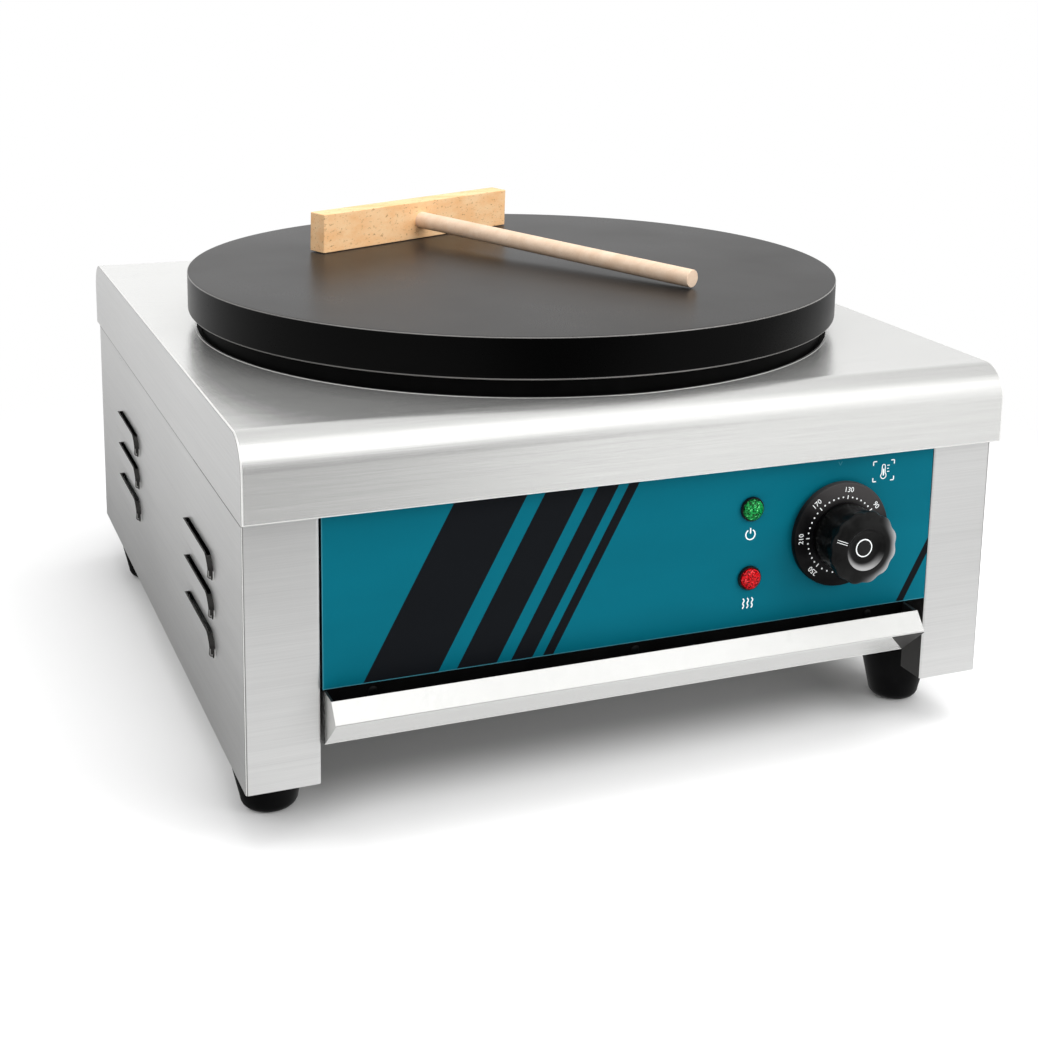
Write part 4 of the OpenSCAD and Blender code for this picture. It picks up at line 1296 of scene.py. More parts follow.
@dataclass
class RearPanel:
    """The rear panel with its vents, screws and cable gland."""

    floor_sheet: float = 1.2
    vents: int = 9
    vent_pitch: float = 14.0
    vent_width: float = 4.0
    vent_height: float = 34.0
    vent_rise: float = 32.0
    screw_head: float = 7.6
    screw_height: float = 2.4
    slot_turn: float = 15.0
    gland_bore: float = 4.6
    gland_corner: float = 12.0
    gland_chamfer: float = 0.8
    thread_radius: float = 8.0
    thread_length: float = 10.0
    cap_radius: float = 11.0
    cap_length: float = 6.0

    def _panel(self) -> None:
        """Models the sheet with rounded slots."""
        low, high = node_box("rear_panel")
        foot = node_box("chamber_floor")[0].z + self.floor_sheet + self.vent_rise
        sheet = Workpiece.block("rear_sheet", low, high)
        half, middle = self.vent_width / 2, (self.vents - 1) / 2
        slot = Workpiece.block(
            "vent", (-half, low.y - 2, foot - half), (half, high.y + 2, foot + self.vent_height + half))
        slot.pick(Part.EDGES, lambda s: abs(s.way.y) > 0.9)
        slot.bevel(half * 0.98, 5)
        copies = [
            slot.copy(f"vent_{i}").put(((i - middle) * self.vent_pitch, 0, 0)) for i in range(1, self.vents)
        ]
        sheet.cut(slot.put((-middle * self.vent_pitch, 0, 0)).join(copies))
        sheet.soften(0.2)
        sheet.done(CASING, "stainless", STEEL_LEVEL, ["rear_panel"])

    def _screw(self) -> Workpiece:
        """Models one pan-head screw with a cross slot, its head standing up from z = 0.

        Returns:
            The screw.
        """
        r, h = self.screw_head / 2, self.screw_height
        screw = Workpiece.turned(
            "screw", [(0, -5), (2, -5), (2, 0), (r, 0), (r, h * 0.45), (r * 0.93, h * 0.75),
                      (r * 0.7, h * 0.93), (r * 0.4, h), (0, h)], 40)
        for turn in (0, 90):
            blade = Workpiece.block("blade", (-r * 0.55, -0.5, h * 0.4), (r * 0.55, 0.5, h + 1))
            screw.cut(blade.put(turn=(0, 0, turn)))
        return screw

    def _screws(self) -> None:
        """Puts the screws on the rear panel and on the cover's rear skirt, each turned a little further."""
        pattern = self._screw()
        inset = self.screw_head / 2
        for node, name in (("rear_screws", "panel_screws"), ("cover_screws", "skirt_screws")):
            low, high = node_box(node)
            seat, reach = high.y - self.screw_height, high.x - inset
            if node == "rear_screws":
                places = [(side * reach, seat, z) for side in (-1, 1) for z in (low.z + inset, high.z - inset)]
            else:
                places = [(side * reach, seat, (low.z + high.z) / 2) for side in (-1, 0, 1)]
            copies = [
                pattern.copy(f"{name}_{i}").put(at, (-90, self.slot_turn * i, 0)) for i, at in enumerate(places)
            ]
            Workpiece.gather(name, copies).done(CASING, "zinc", ZINC, [node])
        bpy.data.objects.remove(pattern.obj)

    def _gland(self) -> None:
        """Models the cable gland: a hexagon, and a ribbed clamping cap with a bore."""
        middle, back = node_middle("cable_gland"), node_box("rear_panel")[1].y
        reach = node_box("cable_gland")[1].y - back
        foot = reach - self.cap_length
        bore, thread, end = self.gland_bore, self.thread_radius, -self.thread_length
        corner, edge, cap_r = self.gland_corner, self.gland_corner - self.gland_chamfer, self.cap_radius
        hexagon = Workpiece.turned(
            "gland", [(bore, end), (thread, end), (thread, 0), (edge, 0), (corner, self.gland_chamfer),
                      (corner, foot - 1), (edge, foot), (bore, foot), (bore, end)], 6)
        cap = Workpiece.turned(
            "gland_cap", [(bore, foot), (cap_r, foot), (cap_r, foot + 1.4), (cap_r - 0.6, reach - 3),
                          (cap_r - 1.8, reach - 0.8), (cap_r - 2.8, reach), (bore + 0.5, reach),
                          (bore, reach - 0.6), (bore, foot)], 72)
        cap.pick(Part.VERTS, lambda s: s.from_axis(0, 0) > thread and round(s.angle()) % 15 == 0)
        cap.resize((0.95, 0.95, 1), (0, 0, 0))
        cap.rest()
        hexagon.soften(0.3)
        hexagon.join([cap]).put((middle.x, back, middle.z), TO_BACK)
        hexagon.done(CASING, "black_plastic", NYLON, ["cable_gland"])

    def build(self) -> None:
        """Models the sheet, its screws and the gland."""
        self._panel()
        self._screws()
        self._gland()


@dataclass
class Panel:
    """The printed sheet of the control panel, with generic stripes and signs."""

    ink: float = 0.06
    stripes: tuple[Pair, ...] = ((-158, 40), (-108, 22), (-78, 12), (-60, 6))
    corner_stripes: tuple[Pair, ...] = ((186, 16), (160, 5))
    slant: float = 28.0
    # Width of the painted highlight strips along the sheet's left and bottom edges
    edge: float = 0.45
    right_room: float = 1.0
    line: float = 0.75
    lamp_drop: float = 15.0
    index_rise: float = 40.0
    thermometer: Pair = (28.8, 32.8)

    def _sheet(self) -> None:
        """Models the sheet and cuts its face along the stripes' edges and around its painted edge highlight."""
        low, high = node_box("panel_overlay")
        sheet = Workpiece.block("printed_sheet", low, (high.x + self.right_room, high.y, high.z))
        lean = math.radians(self.slant)
        normal = (math.cos(lean), 0, -math.sin(lean))
        bands = [(x, x + width) for x, width in (*self.stripes, *self.corner_stripes)]
        for band in bands:
            for x in band:
                sheet.bisect((x, 0, low.z), normal)
        # Cuts that bound the painted edge highlight
        sheet.bisect((low.x + self.edge, 0, 0), (1, 0, 0))
        sheet.bisect((0, 0, low.z + self.edge), (0, 0, 1))
        sheet.rest()
        sheet.obj.data.materials.append(TEAL.material())
        sheet.obj.data.materials.append(PANEL_BLACK.material())
        for face in sheet.obj.data.polygons:
            along = face.center.x / MM - (face.center.z / MM - low.z) * math.tan(lean)
            face.material_index = int(any(start < along < end for start, end in bands))
        sheet.done(CASING, "teal_print", TEAL, ["panel_overlay"], flat_first=False)
        # Painted highlight along the sheet's left and bottom edges
        sheet.paint(TEAL_INK_AND_EDGE_HIGHLIGHT, lambda s: s.at.x < low.x + self.edge or s.at.z < low.z + self.edge)

    def _stroke(self, points: Sequence[Pair], width: float) -> Workpiece:
        """Models a flat line of ink through (x, z) points, with round joins.

        Args:
            points: The line's points.
            width: Its width.

        Returns:
            The stroke, lying in the XY plane.
        """
        pieces = []
        for (x0, y0), (x1, y1) in zip(points, points[1:]):
            length = math.hypot(x1 - x0, y1 - y0)
            bar = Workpiece.block("ink", (0, -width / 2, -self.ink / 2), (length, width / 2, self.ink / 2))
            bar.pick(Part.EDGES, lambda s: abs(s.way.z) > 0.9)
            bar.bevel(width * 0.3, 2)
            pieces.append(bar.put((x0, y0, 0), (0, 0, math.degrees(math.atan2(y1 - y0, x1 - x0)))))
        return pieces[0].join(pieces[1:])

    def _sign(self, name: str, strokes: Sequence[Workpiece], at: Pair, ink: Finish = INK_WHITE) -> None:
        """Prints strokes on the sheet.

        Args:
            name: The sign's name.
            strokes: Its strokes, lying in the XY plane.
            at: The x and z of its middle.
            ink: Its ink.
        """
        sign = Workpiece.gather(name, strokes)
        sign.put((at[0], node_box("panel_overlay")[0].y - self.ink / 2, at[1]), TO_FRONT)
        sign.done(CASING, "teal_print", ink, flat_first=False)

    def _lamp_signs(self) -> None:
        """Prints a power sign and a heat sign under the lamps."""
        power, heat = node_middle("power_lamp"), node_middle("heat_lamp")
        ring = self._stroke(arc((0, 0), 2.9, even(120, 420, 20)), self.line)
        bar = self._stroke([(0, 0.6), (0, 3.8)], self.line)
        self._sign("sign_power", [ring, bar], (power.x, power.z - self.lamp_drop))
        wave = [(-1.0, -3.0), (-0.1, -1.6), (-0.9, 0.0), (0.1, 1.6), (-0.8, 3.0)]
        waves = [self._stroke([(x + aside, z) for x, z in wave], self.line) for aside in (-2.2, 0.5, 3.2)]
        self._sign("sign_heat", waves, (heat.x, heat.z - self.lamp_drop))

    def _dial_signs(self) -> None:
        """Prints the index mark above the dial, and beside it a thermometer between four corners."""
        dial = node_middle("dial_skirt")
        chevron = self._stroke([(-1.2, 1.2), (0, -1.0), (1.2, 1.2)], 0.4)
        self._sign("index_mark", [chevron], (dial.x, dial.z + self.index_rise), TEAL_INK_AND_EDGE_HIGHLIGHT)
        bulb = arc((0, -2.8), 1.8, even(125, 415, 16))
        tube = [bulb[0], (-1.0, 2.8), *arc((0, 2.8), 1.0, even(180, 0, 8)), bulb[-1]]
        filling = [(0, -2.8), (0, 1.3)]
        strokes = [self._stroke(bulb, 0.5), self._stroke(tube, 0.5), self._stroke(filling, 0.8)]
        for end, height in ((3.9, 3.0), (3.4, 1.2), (3.9, -0.6)):
            strokes.append(self._stroke([(2.3, height), (end, height)], 0.45))
        for sx in (-1, 1):
            for sz in (-1, 1):
                corner = [(sx * 4.7, sz * 5.9), (sx * 6.9, sz * 5.9), (sx * 6.9, sz * 3.6)]
                strokes.append(self._stroke(corner, 0.6))
        aside, above = self.thermometer
        self._sign("sign_temperature", strokes, (dial.x + aside, dial.z + above))

    def build(self) -> None:
        """Models the sheet and prints its signs."""
        self._sheet()
        self._lamp_signs()
        self._dial_signs()


@dataclass
class Lamp:
    """A pilot lamp: a bezel and a facetted lens."""

    node: str
    slot: str
    glass: Finish
    facets: int = 4
    lens_round: float = 8.2
    lens_cut: float = 5.6
    lens_depth: float = 3.4

    def build(self) -> None:
        """Models the bezel and the lens."""
        middle, face = node_middle(self.node), node_box("panel_overlay")[0].y
        out = face - node_box(self.node)[0].y
        bezel = Workpiece.turned(
            f"{self.node}_bezel",
            [(0, -20), (4.8, -20), (4.8, 0), (6.7, 0), (7, 0.4), (7, out - 0.7), (6.7, out), (6.3, out),
             (6.1, out - 0.3), (6.1, 0.6), (0, 0.6)], 64)
        bezel.put((middle.x, face, middle.z), TO_FRONT)
        bezel.done(CASING, "black_plastic", BEZEL_BLACK, [self.node])
        clear_selection()
        bpy.ops.mesh.primitive_ico_sphere_add(subdivisions=self.facets, radius=self.lens_round * MM)
        lens = Workpiece(f"{self.node}_glass")
        lens.bisect((0, 0, self.lens_cut), (0, 0, -1), clear_above=True, fill=True)
        lens.pick(Part.FACES, lambda s: s.way.z < -0.9)
        lens.extrude_faces((0, 0, -self.lens_depth))
        lens.mend()
        lens.pick_all()
        lens.resize((0.98, 0.98, 1), (0, 0, 0))
        front = node_box(f"{self.node}_lens")[0].y
        lens.put((middle.x, front + self.lens_round, middle.z), TO_FRONT)
        lens.done(CASING, self.slot, self.glass, [f"{self.node}_lens"], smooth=1.0, flat_first=False)


@dataclass
class Dial:
    """The numbered skirt and the fluted knob."""

    lobes: int = 12
    figures: tuple[tuple[str, float], ...] = (
        ("50", -13), ("90", 35), ("130", 83), ("170", 131), ("210", 179), ("250", 227), ("300", 287))
    bore: float = 3.05
    off_angle: float = 317.0
    dots: int = 5
    figure_height: float = 2.9
    figure_radius: float = 26.2
    mark_radius: float = 22.0
    ink: float = 0.06
    pointer_angle: float = 160.0
    pointer_radius: float = 16.2
    pointer_gap: float = 0.62
    dish: float = 22.9
    grip: tuple[Pair, ...] = (
        (0, 0), (18.4, 0), (19, 0.6), (19.05, 5), (19.2, 10), (19.5, 14), (20.1, 17.5), (20.9, 20.5),
        (21.25, 21.8), (21.2, 22.8), (20.6, 23.8), (19.4, 24.4), (17.4, 25), (15, 25.6), (13, 26),
        (12.1, 25.95), (11.5, 25.5), (10.8, 24.6), (9.6, 23.7), (8, 23.1), (6.2, 22.9), (0, 22.9))

    def _mark(self, piece: Workpiece, angle: float, radius: float) -> Workpiece:
        """Lays a flat mark on the skirt, its top outwards.

        Args:
            piece: The mark, lying in the XY plane.
            angle: Angle from +X, anticlockwise as seen from the front.
            radius: Distance of the mark from the centre.

        Returns:
            The mark.
        """
        middle, face = node_middle("dial_skirt"), node_box("dial_skirt")[0].y
        x, z = arc((middle.x, middle.z), radius, [angle])[0]
        return piece.put((x, face - self.ink / 2, z), (90, 90 - angle, 0))

    def _spot(self, name: str, inner: float, outer: float, sides: int) -> Workpiece:
        """Models a flat spot of ink, or a ring.

        Args:
            name: Its name.
            inner: The ring's inner radius, or 0 for a spot.
            outer: Its outer radius.
            sides: Number of sides.

        Returns:
            The spot, lying in the XY plane.
        """
        half = self.ink / 2
        profile = [(inner, -half), (outer, -half), (outer, half), (inner, half)]
        return Workpiece.turned(name, profile + profile[:1] if inner else profile, sides)

    def _skirt(self) -> None:
        """Models the skirt."""
        low, high = node_box("dial_skirt")
        middle = node_middle("dial_skirt")
        r, t, seat = (high.x - low.x) / 2, high.y - low.y, (middle.x, high.y, middle.z)
        skirt = Workpiece.turned(
            "dial_plate", [(self.bore, 0), (r - 0.5, 0), (r, 0.5), (r, t - 1.3), (r - 0.35, t - 0.45),
                           (r - 1.1, t), (self.bore, t), (self.bore, 0)], 128)
        skirt.put(seat, TO_FRONT)
        # The skirt's satin black carries a painted sheen towards its top
        skirt.done(DIAL, "black_plastic", PaintedSheen(
            "dial_satin_painted_sheen", srgb(5, 5, 6), 0.36, 0.002, specular=0.08, centre=seat, way=(0.25, 0.97),
            ring=(17, 24), spread=(0.2, 1.0), light=srgb(62, 60, 60)), ["dial_skirt"])

    def _scale(self) -> None:
        """Prints the scale on the skirt: figures with bars, dots between them and the off mark."""
        marks = []
        for i, (figure, angle) in enumerate(self.figures):
            text = Workpiece.lettering("figure", figure, self.figure_height, self.ink)
            marks.append(self._mark(text, angle, self.figure_radius))
            bar = Workpiece.block("bar", (-0.3, -1.1, -self.ink / 2), (0.3, 1.1, self.ink / 2))
            bar.pick(Part.EDGES, lambda s: abs(s.way.z) > 0.9)
            bar.bevel(0.15, 2)
            marks.append(self._mark(bar, angle, self.mark_radius))
            if i + 1 < len(self.figures):
                step = (self.figures[i + 1][1] - angle) / (self.dots + 1)
                for k in range(1, self.dots + 1):
                    marks.append(self._mark(self._spot("dot", 0, 0.5, 16), angle + k * step, self.mark_radius))
        off = self._spot("off_mark", 0.9, 1.5, 24)
        marks.append(self._mark(off, self.off_angle, self.mark_radius + 2))
        scale = Workpiece.gather("dial_scale", marks)
        scale.done(DIAL, "black_plastic", INK_WHITE, flat_first=False)

    def _knob(self) -> None:
        """Models the knob: a turned body, pulled in between its lobes, with a ring and a button in its dish."""
        low, high = node_box("thermostat_knob")
        middle = node_middle("dial_skirt")
        seat, step = (middle.x, high.y, middle.z), 360 / self.lobes

        def from_valley(s: Spot) -> float:
            """Gives the angle to the nearest valley between two lobes."""
            return abs((s.angle() + step / 2) % step - step / 2)

        def in_front(s: Spot) -> bool:
            """Says whether a face looks ahead near the knob's front."""
            return s.at.y < low.y + 3.4 and s.way.y < -0.3

        knob = Workpiece.turned("grip_knob", self.grip, self.lobes * 6)
        for away, factor in enumerate((0.945, 0.965, 0.992)):
            knob.pick(Part.VERTS, lambda s: s.from_axis(0, 0) > 16 and s.at.z > 19
                      and abs(from_valley(s) - away * step / 6) < 0.5)
            knob.resize((factor, factor, 1), (0, 0, 0))
        knob.rest()
        knob.modify("SUBSURF", levels=2, render_levels=2)
        knob.put(seat, TO_FRONT)
        knob.done(DIAL, "black_plastic", KNOB_GLOSSY, ["thermostat_knob"], smooth=70, flat_first=False)
        # Painted sheen on the knob's front face, towards its right, and in its dish, towards its bottom
        knob.paint(PaintedSheen(
            "knob_face_painted_sheen", srgb(5, 5, 5), 0.36, 0.003, specular=0.15, centre=seat, way=(0.94, -0.34),
            ring=(14.5, 21.5), spread=(0.2, 1.0), light=srgb(166, 167, 168)), in_front)
        knob.paint(PaintedSheen(
            "knob_dish", srgb(4, 4, 4), 0.36, 0.003, specular=0.15, centre=seat, way=(-0.2, -0.98),
            ring=(8.6, 11.6), spread=(0.0, 1.2), light=srgb(160, 160, 160)),
            lambda s: in_front(s) and math.hypot(s.at.x - middle.x, s.at.z - middle.z) < 12.2)
        floor = self.dish
        boss = Workpiece.turned(
            "dish_ring", [(0, floor), (5.2, floor), (5.2, floor + 0.3), (5, floor + 0.4), (4.7, floor + 0.4),
                          (4.5, floor + 0.25), (0, floor + 0.25)], 64)
        boss.put(seat, TO_FRONT)
        boss.done(DIAL, "black_plastic", INK_WHITE, flat_first=False)
        button = Workpiece.turned(
            "dish_button", [(0, floor + 0.2), (4.52, floor + 0.2), (4.52, floor + 0.35), (4.2, floor + 0.45),
                            (0, floor + 0.5)], 64)
        button.put(seat, TO_FRONT)
        button.done(DIAL, "black_plastic", KNOB_SATIN, flat_first=False)

    def _pointer(self) -> None:
        """Models the knob's two pointer lines, which slope with its rim."""
        middle, front = node_middle("dial_skirt"), node_box("thermostat_knob")[0].y
        x, z = arc((middle.x, middle.z), self.pointer_radius, [self.pointer_angle])[0]
        lines = []
        for gap in (-self.pointer_gap, self.pointer_gap):
            line = Workpiece.block("pointer", (-3.0, -0.14, -0.6), (3.0, 0.14, self.ink))
            for way in (-1, 1):
                line.pick(Part.VERTS, lambda s: s.at.x * way > 1)
                line.move((0, 0, -0.75 * way))
            line.rest()
            at_x, at_z = arc((x, z), gap, [self.pointer_angle + 90])[0]
            lines.append(line.put((at_x, front + 0.75, at_z), (90, -self.pointer_angle, 0)))
        Workpiece.gather("pointer_lines", lines).done(DIAL, "black_plastic", INK_WHITE, flat_first=False)

    def build(self) -> None:
        """Models the skirt, its scale and the knob."""
        self._skirt()
        self._scale()
        self._knob()
        self._pointer()


@dataclass
class CookingPlate:
    """The round cast plate with its deep rim."""

    rim: float = 9.0
    web: float = 9.0
    top_edge: float = 0.7
    low_edge: float = 2.0

    def build(self) -> None:
        """Turns the plate."""
        low = node_box("plate_rim")[0]
        top, high = node_box("cooking_plate")
        centre = node_middle("cooking_plate")
        r, z0, z1 = (high.x - top.x) / 2, low.z, high.z
        e, k = self.top_edge, self.low_edge
        foot = arc((r - k, z0 + k), k, (-90, -68, -45, -22, 0))
        crown = arc((r - e, z1 - e), e, even(0, 90, 3))
        plate = Workpiece.turned(
            "cast_plate",
            [(0, z1 - self.web), (r - self.rim - 1, z1 - self.web), (r - self.rim, z1 - self.web - 1),
             (r - self.rim, z0), *foot, *crown, (r * 0.98, z1), (r * 0.6, z1), (0, z1)], 256)
        plate.put((centre.x, centre.y, 0))
        middle = (centre.x, centre.y, z1)
        plate.done(CASING, "black_iron", SeasonedIron("seasoned_iron", middle), ["cooking_plate", "plate_rim"])
        # The rim's sides get a near-black copy of the seasoned iron, darker than the top
        plate.paint(SeasonedIron("seasoned_rim", middle, srgb(1, 1, 1), 0.07, 0.3), lambda s: s.way.z < 0.1)
        # Painted highlight on the rounded top and bottom edges of the rim
        plate.paint(
            SeasonedIron("iron_edge_painted_highlight", middle, srgb(120, 118, 116), 0.5, 0.3),
            lambda s: s.from_axis(centre.x, centre.y) > r - 2 and (
                0.1 < s.way.z < 0.95 or -0.9 < s.way.z < -0.5))


@dataclass
class DrawerFront:
    """The drawer's gutter-shaped handle and its rivets."""

    top_depth: float = 13.5
    drop: float = 10.0
    sheet: float = 1.2
    fold: float = 1.2
    rivet_pitch: float = 147.0
    # How far the painted shade on the floor's right end reaches in at the front
    shade_corner: float = 12.0
    # Height of the painted highlight strip along the gutter's foot
    highlight_strip: float = 0.7

    def _gutter(self) -> None:
        """Folds the handle: a lip, a sloping floor and two end plates."""
        low, high = node_box("drawer_handle")
        gutter = Workpiece.block("drawer_gutter", low, high)
        gutter.pick(Part.VERTS, lambda s: s.at.y < low.y + 1 and s.at.z < low.z + 1)
        gutter.move((0, 0, high.z - low.z - self.drop))
        gutter.pick(Part.VERTS, lambda s: s.at.y < low.y + 1 and s.at.z > high.z - 1)
        gutter.move((0, high.y - low.y - self.top_depth, 0))
        gutter.pick(Part.EDGES, lambda s: abs(s.way.x) > 0.9 and s.at.y < low.y + 1)
        gutter.bevel(self.fold, 5)
        gutter.delete_faces(lambda s: s.way.z > 0.98 or s.way.y > 0.98)
        gutter.thicken(self.sheet)
        gutter.soften(0.25)
        # Cut that bounds the painted shade on the floor's right end
        gutter.bisect((high.x, high.y, 0), (high.y - low.y, -self.shade_corner, 0))
        # Cut that bounds the painted highlight strip along the gutter's foot
        gutter.bisect((0, 0, low.z + self.highlight_strip), (0, 0, 1))
        gutter.rest()
        gutter.done(DRAWER, "stainless", STEEL_ACROSS, ["drawer_handle"])
        middle = (low.x + high.x) / 2

        def in_shade(s: Spot) -> bool:
            """Says whether a face gets painted shade.

            Args:
                s: The face.

            Returns:
                Whether it is an end plate's inside or top, or the floor's right corner, seen from below.
            """
            inside = abs(s.way.x) > 0.9 and s.way.x * (s.at.x - middle) < 0
            top = abs(s.at.x - middle) > high.x - middle - 2 and s.way.z > 0.5
            corner = s.at.x + self.shade_corner * (high.y - s.at.y) / (high.y - low.y) > high.x
            return inside or top or (corner and s.way.z < -0.3)

        # Painted shade on the end plates' insides and tops and on the floor's right corner
        gutter.paint(STEEL_SHADE, in_shade)
        # Painted shade on the lip's upward faces, to tone down their highlight
        gutter.paint(STEEL_LIP_PAINTED_SHADE, lambda s: s.way.z > 0.2 and s.way.y < -0.2)
        # Painted highlight along the gutter's foot
        gutter.paint(
            STEEL_PAINTED_HIGHLIGHT, lambda s: s.at.z < low.z + self.highlight_strip and s.way.y < 0.3 and s.at.x < high.x - 2)

    def _rivets(self) -> None:
        """Models the rivets' domed heads."""
        low, high = node_box("drawer_rivets")
        middle, front = node_middle("drawer_rivets"), node_box("drawer_front")[0].y
        out, end = front - low.y, front - high.y
        first = Workpiece.turned(
            "rivet_heads", [(0, end), (1.2, end), (1.2, 0), (2.5, 0), (2.4, out * 0.45), (1.8, out * 0.8),
                            (0.9, out * 0.97), (0, out)], 28)
        others = [
            first.copy(f"rivet_{i}").put((middle.x + i * self.rivet_pitch, front, middle.z), TO_FRONT)
            for i in (-1, 1)
        ]
        first.put((middle.x, front, middle.z), TO_FRONT).join(others)
        first.done(DRAWER, "zinc", DARK_RIVET, ["drawer_rivets"])

    def build(self) -> None:
        """Models the handle and the rivets."""
        self._gutter()
        self._rivets()


@dataclass
class Feet:
    """Four tapered rubber feet."""

    nodes: tuple[str, ...] = ("foot_front_left", "foot_front_right", "foot_rear_left", "foot_rear_right")
    foot: float = 15.5
    top: float = 21.5
    taper: float = 32.0
    edge: float = 6.0
    bore: float = 4.1
    bore_depth: float = 20.0

    def build(self) -> None:
        """Turns one foot and copies it."""
        h, e, top = node_box(self.nodes[0])[1].z, self.edge, self.top
        pattern = Workpiece.turned(
            "foot", [(0, 0), (self.foot - e - 2, 0), *arc((self.foot - e, e), e, even(-90, 0, 5)),
                     (top, self.taper), (top, h - 1.1), (top - 0.3, h - 0.4), (top - 0.9, h),
                     (self.bore, h), (self.bore, h - self.bore_depth), (0, h - self.bore_depth)], 72)
        for node in self.nodes:
            middle = node_middle(node)
            piece = pattern.copy(f"rubber_{node}")
            piece.put((middle.x, middle.y, 0))
            piece.done(CASING, "rubber", RUBBER, [node])
        bpy.data.objects.remove(pattern.obj)


@dataclass
class Spreader:
    """The loose wooden spreader: a flat blade with a round handle."""

    length: float = 167.5
    left_end: float = -85.5
    height: float = 25.0
    thickness: float = 13.4
    handle_radius: float = 5.5
    handle_length: float = 230.0
    turn: float = 26.0
    at: tuple[float, float] = (-27.0, 87.0)
    seam: float = 0.3

    def build(self) -> None:
        """Models the blade and the handle and lays them on the plate."""
        lean = math.degrees(math.atan((self.height / 2 - self.handle_radius) / self.handle_length))
        z = node_box("cooking_plate")[1].z + self.seam
        place, turns = (*self.at, z), (lean, 0, self.turn)
        blade = Workpiece.block(
            "scraper_blade", (self.left_end, 0, 0), (self.left_end + self.length, self.thickness, self.height))
        blade.soften(0.5, 3)
        blade.put(place, turns)
        blade.done(SPREADER, "board", Timber(
            "board_wood", (0, 0, -self.turn), place, srgb(250, 211, 164), srgb(244, 191, 136), 0.65),
            ["spreader_blade"])
        r, end, start = self.handle_radius, self.handle_length, 0.2 - self.thickness
        stick = Workpiece.turned(
            "round_handle", [(0, start), (r, start), (r, end * 0.3), (r * 0.99, end * 0.62), (r, end - 0.8),
                             (r - 0.25, end - 0.25), (r - 0.8, end), (0, end)], 56)
        stick.put((0, 0, self.height / 2), TO_FRONT)
        stick.put(place, turns)
        stick.done(SPREADER, "beech", Timber(
            "stick_wood", (0, 0, 90 - self.turn), place, srgb(235, 210, 186), srgb(224, 194, 166), 0.12),
            ["spreader_handle"])


@dataclass
class InnerParts:
    """CAD nodes whose shape is kept: they only get their finishes."""

    finishes: dict[str, Finish] = field(default_factory=lambda: {
        "chamber_floor": GALVANISED, "control_panel": GALVANISED, "plate_bosses": HEATER_TUBE,
        "heat_pan": ENAMEL, "pan_collar": ENAMEL, "insulation_blanket": WOOL, "heating_element": HEATER_TUBE,
        "element_clamp": GALVANISED, "clamp_nuts": ZINC, "plate_posts": ZINC, "post_nuts": ZINC,
        "thermostat_spindle": ZINC, "thermostat_body": STEATITE, "thermostat_screws": ZINC,
        "thermostat_capillary": COPPER, "thermostat_bulb": COPPER, "bulb_clip": ZINC, "lamp_nuts": BEZEL_BLACK,
        # The runners take the painted highlight steel, which lifts their front ends out of shade
        # drawer_front, the sheet behind the handle's lip, is made plain black
        "drawer_tray": STEEL_LEVEL, "drawer_front": ENAMEL, "runner_left": STEEL_PAINTED_HIGHLIGHT,
        "runner_right": STEEL_PAINTED_HIGHLIGHT, "drawer_stops": ZINC, "foot_plates": ENAMEL, "foot_studs": ZINC,
        "terminal_block": CERAMIC,
        "safety_cutout": BEZEL_BLACK, "gland_locknut": NYLON, "earth_stud": BRASS, "lamp_wiring": SILICONE,
        "heater_wiring": SILICONE})

    def build(self) -> None:
        """Gives each node its finish."""
        for node, finish in self.finishes.items():
            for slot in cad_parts[node].material_slots:
                slot.material = finish.material()
            log.info("%s: finish %s", node, finish.name)


# ---- Studio ----


